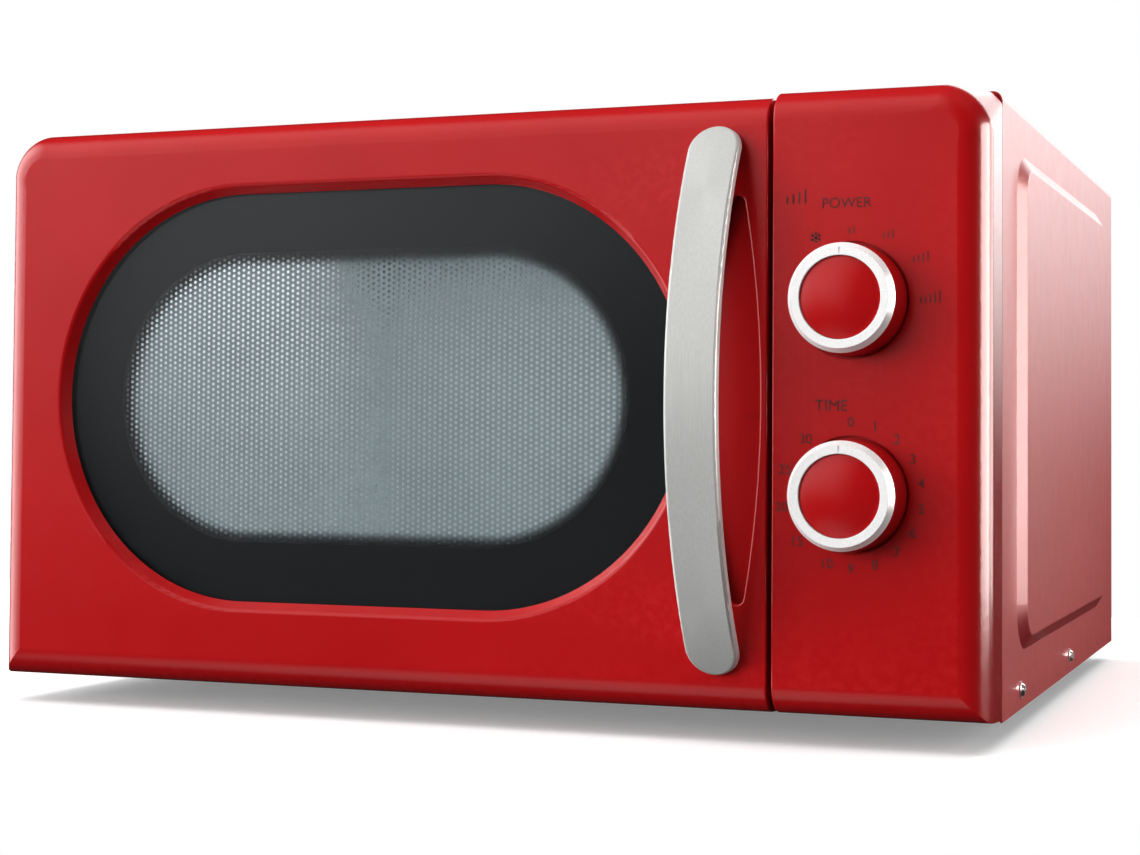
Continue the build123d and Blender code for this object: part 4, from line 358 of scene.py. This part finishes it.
def band(name, inner, outer, near_y, far_y):
    """Closed flat band between two outlines with the same number of points."""
    shape = bmesh.new()
    count = len(inner)
    rows = [
        [shape.verts.new((x, y, z)) for x, z in outline]
        for outline, y in ((inner, near_y), (outer, near_y), (outer, far_y), (inner, far_y))
    ]
    for row in range(4):
        following = (row + 1) % 4
        for index in range(count):
            after = (index + 1) % count
            shape.faces.new(
                (rows[row][index], rows[row][after], rows[following][after], rows[following][index])
            )
    bmesh.ops.recalc_face_normals(shape, faces=shape.faces)
    mesh = bpy.data.meshes.new(name)
    shape.to_mesh(mesh)
    shape.free()
    return mesh


# The black print on the back of the window glass. Its inner edge fades out towards the middle of the
# window. The fade is painted shade: it stands in for the soft shadow that the print casts on the screen
# behind it.
MASK_INNER = 64.0 * MM
# Width of the inner fade: painted shade for the print's soft shadow on the screen.
MASK_SHADE_FADE = 7.0 * MM
MASK_FULL = 1.0 * MM
MASK_BACK = 0.25 * MM
MASK_GAP = 0.05 * MM
PRINT_INK = (0.008, 0.008, 0.009)


def soft_print(name):
    """Black print ink whose cover fades towards the window's middle, by the distance from the stadium's
    middle line. The fade is painted shade for the print's soft shadow on the screen.
    """
    made, tree, shader, _ = material(name)
    shader.inputs["Base Color"].default_value = (*PRINT_INK, 1.0)
    shader.inputs["Roughness"].default_value = 0.5
    shader.inputs["Specular IOR Level"].default_value = 0.2
    split = tree.nodes.new("ShaderNodeSeparateXYZ")
    tree.links.new(position(tree), split.inputs["Vector"])
    across = combined(tree, "SUBTRACT", split.outputs["X"], window_middle.x)
    across = combined(tree, "SUBTRACT", combined(tree, "ABSOLUTE", across), WINDOW_HALF_SPAN)
    across = combined(tree, "POWER", combined(tree, "MAXIMUM", across, 0.0), 2.0)
    up = combined(tree, "SUBTRACT", split.outputs["Z"], window_middle.z)
    away = combined(tree, "ADD", across, combined(tree, "MULTIPLY", up, up))
    fade = tree.nodes.new("ShaderNodeMapRange")
    fade.interpolation_type = "SMOOTHSTEP"
    fade.inputs["From Min"].default_value = MASK_INNER - MASK_SHADE_FADE
    fade.inputs["From Max"].default_value = MASK_INNER + MASK_FULL
    tree.links.new(combined(tree, "SQRT", away), fade.inputs["Value"])
    tree.links.new(fade.outputs["Result"], shader.inputs["Alpha"])
    return made


steps_round = 48
print_near = glass_high.y + MASK_GAP
mask = band(
    "window_print_and_painted_shade",
    stadium(MASK_INNER - MASK_SHADE_FADE, WINDOW_HALF_SPAN, steps_round),
    stadium(GLASS_RADIUS - 0.5 * MM, WINDOW_HALF_SPAN, steps_round),
    print_near,
    print_near + MASK_BACK,
)
piece("window_print_and_painted_shade", mask, soft_print("window_print_and_painted_shade"), "door")

# The punched screen: round holes in upright columns, each column half a step higher than the last.
COLUMN_STEP = 2.49 * MM
ROW_STEP = 2.40 * MM
HOLE_RADIUS = 0.74 * MM
HOLE_SIDES = 12
SCREEN_THICKNESS = 0.3 * MM
PATCH_EDGE = 4.7 * MM
PATCH_RADIUS = MASK_INNER + PATCH_EDGE
plate_near = screen_low.y
patch_near = plate_near + 0.4 * MM


def inside_stadium(x, z, radius):
    """True if a point measured from the window's middle is inside a stadium."""
    over = max(0.0, abs(x) - WINDOW_HALF_SPAN)
    return math.hypot(over, z) < radius


def screen_patch():
    """Sheet of hexagonal cells, each with a round hole through it."""
    shape = bmesh.new()
    corners = {}

    def corner(x, z):
        key = (round(x / MM, 3), round(z / MM, 3))
        if key not in corners:
            corners[key] = shape.verts.new((window_middle.x + x, patch_near, window_middle.z + z))
        return corners[key]

    # Each hole's cell is a hexagon. Its outline is given by its corners and the middles of its sides.
    lean = ROW_STEP**2 / (8 * COLUMN_STEP)
    side_x, top_x, top_z = COLUMN_STEP / 2 + lean, COLUMN_STEP / 2 - lean, ROW_STEP / 2
    cell = [(side_x, 0.0), (COLUMN_STEP / 2, top_z / 2), (top_x, top_z), (0.0, top_z)]
    cell += [(-x, z) for x, z in cell[2::-1]]
    cell += [(-x, -z) for x, z in cell[1:6]]
    columns = int((WINDOW_HALF_SPAN + PATCH_RADIUS) / COLUMN_STEP) + 1
    rows = int(PATCH_RADIUS / ROW_STEP) + 1
    for column in range(-columns, columns + 1):
        for row in range(-rows, rows + 1):
            x = column * COLUMN_STEP
            z = (row + 0.5 * (column % 2)) * ROW_STEP
            if not inside_stadium(x, z, PATCH_RADIUS):
                continue
            outer = [corner(x + across, z + up) for across, up in cell]
            rim = []
            for index in range(HOLE_SIDES):
                turn = math.atan2(cell[index][1], cell[index][0])
                place = (
                    window_middle.x + x + HOLE_RADIUS * math.cos(turn),
                    patch_near,
                    window_middle.z + z + HOLE_RADIUS * math.sin(turn),
                )
                rim.append(shape.verts.new(place))
            for index in range(HOLE_SIDES):
                after = (index + 1) % HOLE_SIDES
                shape.faces.new((outer[index], outer[after], rim[after], rim[index]))
    bmesh.ops.recalc_face_normals(shape, faces=shape.faces)
    if shape.faces and shape.faces[:][0].normal.y > 0:
        bmesh.ops.reverse_faces(shape, faces=shape.faces)
    flat = list(shape.faces)
    grown = bmesh.ops.extrude_face_region(shape, geom=flat)
    moved = [item for item in grown["geom"] if isinstance(item, bmesh.types.BMVert)]
    bmesh.ops.translate(shape, verts=moved, vec=(0, SCREEN_THICKNESS, 0))
    bmesh.ops.recalc_face_normals(shape, faces=shape.faces)
    mesh = bpy.data.meshes.new("punched_screen")
    shape.to_mesh(mesh)
    shape.free()
    return mesh


screen_finish = moulded("screen_paint", (0.24, 0.285, 0.29), 0.5, 500.0, 0.05)
screen = piece("punched_screen", screen_patch(), screen_finish, "door")


def rounded_rectangle(width, height, corner_radius, count):
    """Outline points (x, z) about the window's middle, with as many points at each round corner."""
    reach_x = width / 2 - corner_radius
    reach_z = height / 2 - corner_radius
    points = []
    for side_x, side_z, start in ((1, -1, -90), (1, 1, 0), (-1, 1, 90), (-1, -1, 180)):
        for step in range(count):
            turn = math.radians(start + 90.0 * step / (count - 1))
            points.append(
                (
                    window_middle.x + side_x * reach_x + corner_radius * math.cos(turn),
                    window_middle.z + side_z * reach_z + corner_radius * math.sin(turn),
                )
            )
    return points


# The plain border of the screen, from the punched part out to the pan's wall.
screen_size = screen_high - screen_low
PAN_CORNER = 24 * MM
BORDER_INNER = MASK_INNER + 1.2 * MM
BORDER_THICKNESS = 0.35 * MM
border_span = 2 * (WINDOW_HALF_SPAN + BORDER_INNER)
border = band(
    "screen_border",
    rounded_rectangle(border_span, 2 * BORDER_INNER, BORDER_INNER, steps_round // 2),
    rounded_rectangle(screen_size.x, screen_size.z, PAN_CORNER, steps_round // 2),
    plate_near,
    plate_near + BORDER_THICKNESS,
)
piece("screen_border", border, screen_finish, "door")
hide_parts("door_screen")

# ---------------------------------------------------------------- marks on the control panel
MARK_PROUD = 0.03 * MM
MARK_BACK = 0.05 * MM
power_low, power_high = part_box("power_knob_ring")
timer_low, timer_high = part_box("timer_knob_ring")
dial_x = (power_low.x + power_high.x) / 2
power_z = (power_low.z + power_high.z) / 2
timer_z = (timer_low.z + timer_high.z) / 2
panel_y = panel_low.y
DIGIT_HEIGHT = 3.9 * MM


def mark_block(shape, centre, size, turn=0.0):
    """A thin bar on the panel, about a centre (x, z)."""
    half_x, half_z = size[0] / 2, size[1] / 2
    rotated = []
    for x, z in ((-half_x, -half_z), (half_x, -half_z), (half_x, half_z), (-half_x, half_z)):
        rotated.append(
            (
                centre[0] + x * math.cos(turn) - z * math.sin(turn),
                centre[1] + x * math.sin(turn) + z * math.cos(turn),
            )
        )
    near = [shape.verts.new((x, panel_y - MARK_PROUD, z)) for x, z in rotated]
    far = [shape.verts.new((x, panel_y + MARK_BACK, z)) for x, z in rotated]
    shape.faces.new(near)
    shape.faces.new(far[::-1])
    for index in range(4):
        after = (index + 1) % 4
        shape.faces.new((near[index], far[index], far[after], near[after]))


def bars(shape, centre, count, scale=1.0):
    """Rising bars, as many as the power step."""
    pitch = 2.5 * MM * scale
    for index in range(count):
        height = (3.0 + 0.9 * index) * MM * scale
        x = centre[0] + (index - (count - 1) / 2) * pitch
        mark_block(shape, (x, centre[1] + height / 2 - 2.2 * MM * scale), (0.7 * MM * scale, height))


def around(z, degrees_clockwise, radius):
    """Point (x, z) at an angle from the top of a dial."""
    turn = math.radians(degrees_clockwise)
    return dial_x + radius * math.sin(turn), z + radius * math.cos(turn)


def written(text, height, centre):
    """Mesh of a word or number on the panel, with its middle at (x, z)."""
    curve = bpy.data.curves.new("mark_text", "FONT")
    curve.body = text
    curve.size = height
    curve.align_x = "CENTER"
    curve.extrude = (MARK_PROUD + MARK_BACK) / 2
    curve.resolution_u = 4
    holder = bpy.data.objects.new("mark_text", curve)
    bpy.context.scene.collection.objects.link(holder)
    bpy.context.view_layer.update()
    mesh = bpy.data.meshes.new_from_object(holder.evaluated_get(bpy.context.evaluated_depsgraph_get()))
    bpy.data.objects.remove(holder)
    tall = max(vertex.co.y for vertex in mesh.vertices) - min(vertex.co.y for vertex in mesh.vertices)
    size = Matrix.Diagonal((height / tall, height / tall, 1.0, 1.0))
    upright = Matrix.Rotation(math.radians(90), 4, "X")
    middle_y = panel_y + (MARK_BACK - MARK_PROUD) / 2
    shift = Matrix.Translation((centre[0], middle_y, centre[1] - height / 2))
    mesh.transform(shift @ upright @ size)
    return mesh


marks = bmesh.new()
SNOW_RADIUS = 28.9 * MM
snow = around(power_z, -30.0, SNOW_RADIUS)
for arm in range(3):
    mark_block(marks, snow, (0.5 * MM, 5.0 * MM), math.radians(60 * arm))
for arm in range(6):
    turn = math.radians(60 * arm)
    tip = (snow[0] - 1.6 * MM * math.sin(turn), snow[1] + 1.6 * MM * math.cos(turn))
    mark_block(marks, tip, (1.5 * MM, 0.45 * MM), turn)
for count, degrees_clockwise, radius in ((2, 0, 27.8), (3, 30, 29.6), (4, 60, 32.0), (5, 90, 31.5)):
    bars(marks, around(power_z, degrees_clockwise, radius * MM), count, 0.75)
bars(marks, (dial_x - 22.5 * MM, power_z + 40.8 * MM), 4)
words = [
    ("POWER", 4.1 * MM, (dial_x - 2.0 * MM, power_z + 38.5 * MM)),
    ("TIME", 4.3 * MM, (dial_x - 8.0 * MM, timer_z + 35.0 * MM)),
]
for number in range(11):
    words.append((str(number), DIGIT_HEIGHT, around(timer_z, 20.0 * number, 28.6 * MM)))
for number, degrees_clockwise in ((15, 230), (20, 260), (25, 290), (30, 320)):
    words.append((str(number), DIGIT_HEIGHT, around(timer_z, degrees_clockwise, 28.6 * MM)))
for text, height, centre in words:
    mesh = written(text, height, centre)
    marks.from_mesh(mesh)
    bpy.data.meshes.remove(mesh)
bmesh.ops.remove_doubles(marks, verts=marks.verts, dist=0.000001)
marks_mesh = bpy.data.meshes.new("panel_marks")
marks.to_mesh(marks_mesh)
marks.free()
mark_finish = moulded("mark_ink", (0.035, 0.004, 0.004), 0.45, 900.0, 0.05)
piece("panel_marks", marks_mesh, mark_finish, "root")

# ---------------------------------------------------------------- floor
FLOOR_SIDES = (-1.2, 0.9)
FLOOR_ENDS = (FACE_Y - 0.10, FACE_Y + 0.62)
floor_shape = bmesh.new()
corners = [(FLOOR_SIDES[0], FLOOR_ENDS[0]), (FLOOR_SIDES[1], FLOOR_ENDS[0])]
corners += [(FLOOR_SIDES[1], FLOOR_ENDS[1]), (FLOOR_SIDES[0], FLOOR_ENDS[1])]
floor_shape.faces.new([floor_shape.verts.new((x, y, 0.0)) for x, y in corners])
floor_mesh = bpy.data.meshes.new("floor")
floor_shape.to_mesh(floor_mesh)
floor_shape.free()
paper, paper_tree, paper_shader, _ = material("floor_paper_with_painted_glow")
paper_colour = ramp(paper_tree, noise(paper_tree, position(paper_tree), 3.0), [(0.3, 0.89), (0.7, 0.91)])
paper_tree.links.new(paper_colour, paper_shader.inputs["Base Color"])
paper_shader.inputs["Roughness"].default_value = 0.9
paper_shader.inputs["Specular IOR Level"].default_value = 0.1
# The paper glows faintly: painted light that lightens the oven's shadow on the floor.
paper_shader.inputs["Emission Color"].default_value = (1.0, 1.0, 1.0, 1.0)
paper_shader.inputs["Emission Strength"].default_value = 0.17
floor_mesh.materials.append(paper)
floor_thing = bpy.data.objects.new("floor", floor_mesh)
bpy.context.scene.collection.objects.link(floor_thing)
floor_thing.visible_diffuse = False
floor_thing.visible_glossy = False

# ---------------------------------------------------------------- light
# The room is white where the camera looks past the oven. Everything else sees a dim room with soft glows.
ROOM_SEEN = 1.0
ROOM_DIM = 0.02
world = bpy.data.worlds.new("studio")
world.use_nodes = True
room = world.node_tree
sky = room.nodes["Background"]
sky.inputs["Color"].default_value = (1.0, 1.0, 1.0, 1.0)
direction = room.nodes.new("ShaderNodeTexCoord").outputs["Generated"]


def glow(turn, rise, inner, outer, radiance):
    """Soft round glow of the room, at a turn from the front to the right and a rise, in degrees."""
    level = math.cos(math.radians(rise))
    across = level * math.sin(math.radians(turn))
    forward = level * math.cos(math.radians(turn))
    axis = (across, -forward, math.sin(math.radians(rise)))
    facing = room.nodes.new("ShaderNodeVectorMath")
    facing.operation = "DOT_PRODUCT"
    facing.inputs[1].default_value = axis
    room.links.new(direction, facing.inputs[0])
    fade = room.nodes.new("ShaderNodeMapRange")
    fade.interpolation_type = "SMOOTHSTEP"
    fade.inputs["From Min"].default_value = math.cos(math.radians(outer))
    fade.inputs["From Max"].default_value = math.cos(math.radians(inner))
    fade.inputs["To Max"].default_value = radiance
    room.links.new(facing.outputs["Value"], fade.inputs["Value"])
    return fade.outputs["Result"]


room_light = combined(room, "ADD", glow(-80.0, 10.0, 12.0, 42.0, 4.0), ROOM_DIM)
room_light = combined(room, "ADD", room_light, glow(-42.0, 38.0, 12.0, 43.0, 1.2))
room_light = combined(room, "ADD", room_light, glow(168.0, 24.0, 6.0, 26.0, 4.0))
room_light = combined(room, "ADD", room_light, glow(-25.0, -40.0, 8.0, 26.0, 0.9))
seen = room.nodes.new("ShaderNodeLightPath").outputs["Is Camera Ray"]
hidden = combined(room, "SUBTRACT", 1.0, seen)
strength = combined(room, "MULTIPLY", room_light, hidden)
strength = combined(room, "ADD", strength, combined(room, "MULTIPLY", seen, ROOM_SEEN))
room.links.new(strength, sky.inputs["Strength"])
bpy.context.scene.world = world


def area_light(name, place, target, size, power, colour=(1.0, 1.0, 1.0), reflected=False):
    """A soft rectangular light that faces a target. It lights surfaces, or it is only reflected in them."""
    light = bpy.data.lights.new(name, "AREA")
    light.shape = "RECTANGLE"
    light.size = size[0]
    light.size_y = size[1]
    light.energy = power
    light.color = colour
    thing = bpy.data.objects.new(name, light)
    thing.location = place
    thing.rotation_euler = (Vector(target) - Vector(place)).to_track_quat("-Z", "Y").to_euler()
    thing.visible_camera = False
    thing.visible_glossy = reflected
    thing.visible_transmission = reflected
    thing.visible_diffuse = not reflected
    bpy.context.scene.collection.objects.link(thing)


middle = (cad_box[0] + cad_box[1]) / 2
SIDE_EDGE = (0.23, -0.16, 0.14)
CARD_COLOUR = (1.0, 0.93, 0.89)
BACK_COLOUR = (1.0, 0.88, 0.83)
area_light("overhead", (-0.3, 0.25, 2.5), (-0.3, 0.25, 0.0), (4.0, 4.0), 100.0)
area_light("front_fill", (-1.1, -2.2, 0.5), middle, (2.0, 0.9), 36.0)
area_light("side_fill", (2.2, -0.4, 0.7), middle, (1.4, 1.2), 17.0)
area_light("side_card", (1.30, 0.087, 0.3), SIDE_EDGE, (0.9, 0.7), 44.0, CARD_COLOUR, True)
area_light("back_card", (1.00, 0.76, 0.3), SIDE_EDGE, (0.64, 0.7), 9.0, BACK_COLOUR, True)

# A soft lamp below the cavity's roof shows through the screen's holes.
LAMP_SIZE = 0.22
LAMP_LEFT = 0.04
LAMP_BEHIND_FRONT = 0.12
LAMP_BELOW_ROOF = 0.035
lamp = bpy.data.lights.new("cavity_glow", "AREA")
lamp.size = LAMP_SIZE
lamp.energy = 0.8
lamp_thing = bpy.data.objects.new("cavity_glow", lamp)
lamp_thing.location = (
    window_middle.x - LAMP_LEFT,
    cavity_low.y + LAMP_BEHIND_FRONT,
    cavity_high.z - LAMP_BELOW_ROOF,
)
lamp_thing.visible_camera = False
lamp_thing.visible_glossy = False
lamp_thing.visible_transmission = False
bpy.context.scene.collection.objects.link(lamp_thing)

# ---------------------------------------------------------------- camera
CAMERA_LENS = 61.9
CAMERA_TURN = 19.165
CAMERA_RISE = 1.705
CAMERA_ROLL = 0.304
CAMERA_SHIFT = (-0.1112, -0.0439)
CAMERA_RIGHT = 0.3682
CAMERA_AWAY = 0.7438
CAMERA_ABOVE = 0.1128
camera = bpy.data.cameras.new("camera")
camera.sensor_fit = "HORIZONTAL"
camera.sensor_width = 36.0
camera.lens = CAMERA_LENS
camera.shift_x, camera.shift_y = CAMERA_SHIFT
camera.clip_start = 0.02
camera.clip_end = 30.0
camera_thing = bpy.data.objects.new("camera", camera)
aim = Euler((math.radians(90 + CAMERA_RISE), 0.0, math.radians(CAMERA_TURN))).to_matrix()
roll = Matrix.Rotation(math.radians(CAMERA_ROLL), 3, "Z")
camera_thing.rotation_euler = (aim @ roll).to_euler()
camera_thing.location = (
    (cover_low.x + cover_high.x) / 2 + CAMERA_RIGHT,
    FACE_Y - CAMERA_AWAY,
    CABINET_BOTTOM + CAMERA_ABOVE,
)
bpy.context.scene.collection.objects.link(camera_thing)
bpy.context.scene.camera = camera_thing
bpy.context.scene.view_settings.view_transform = "Standard"
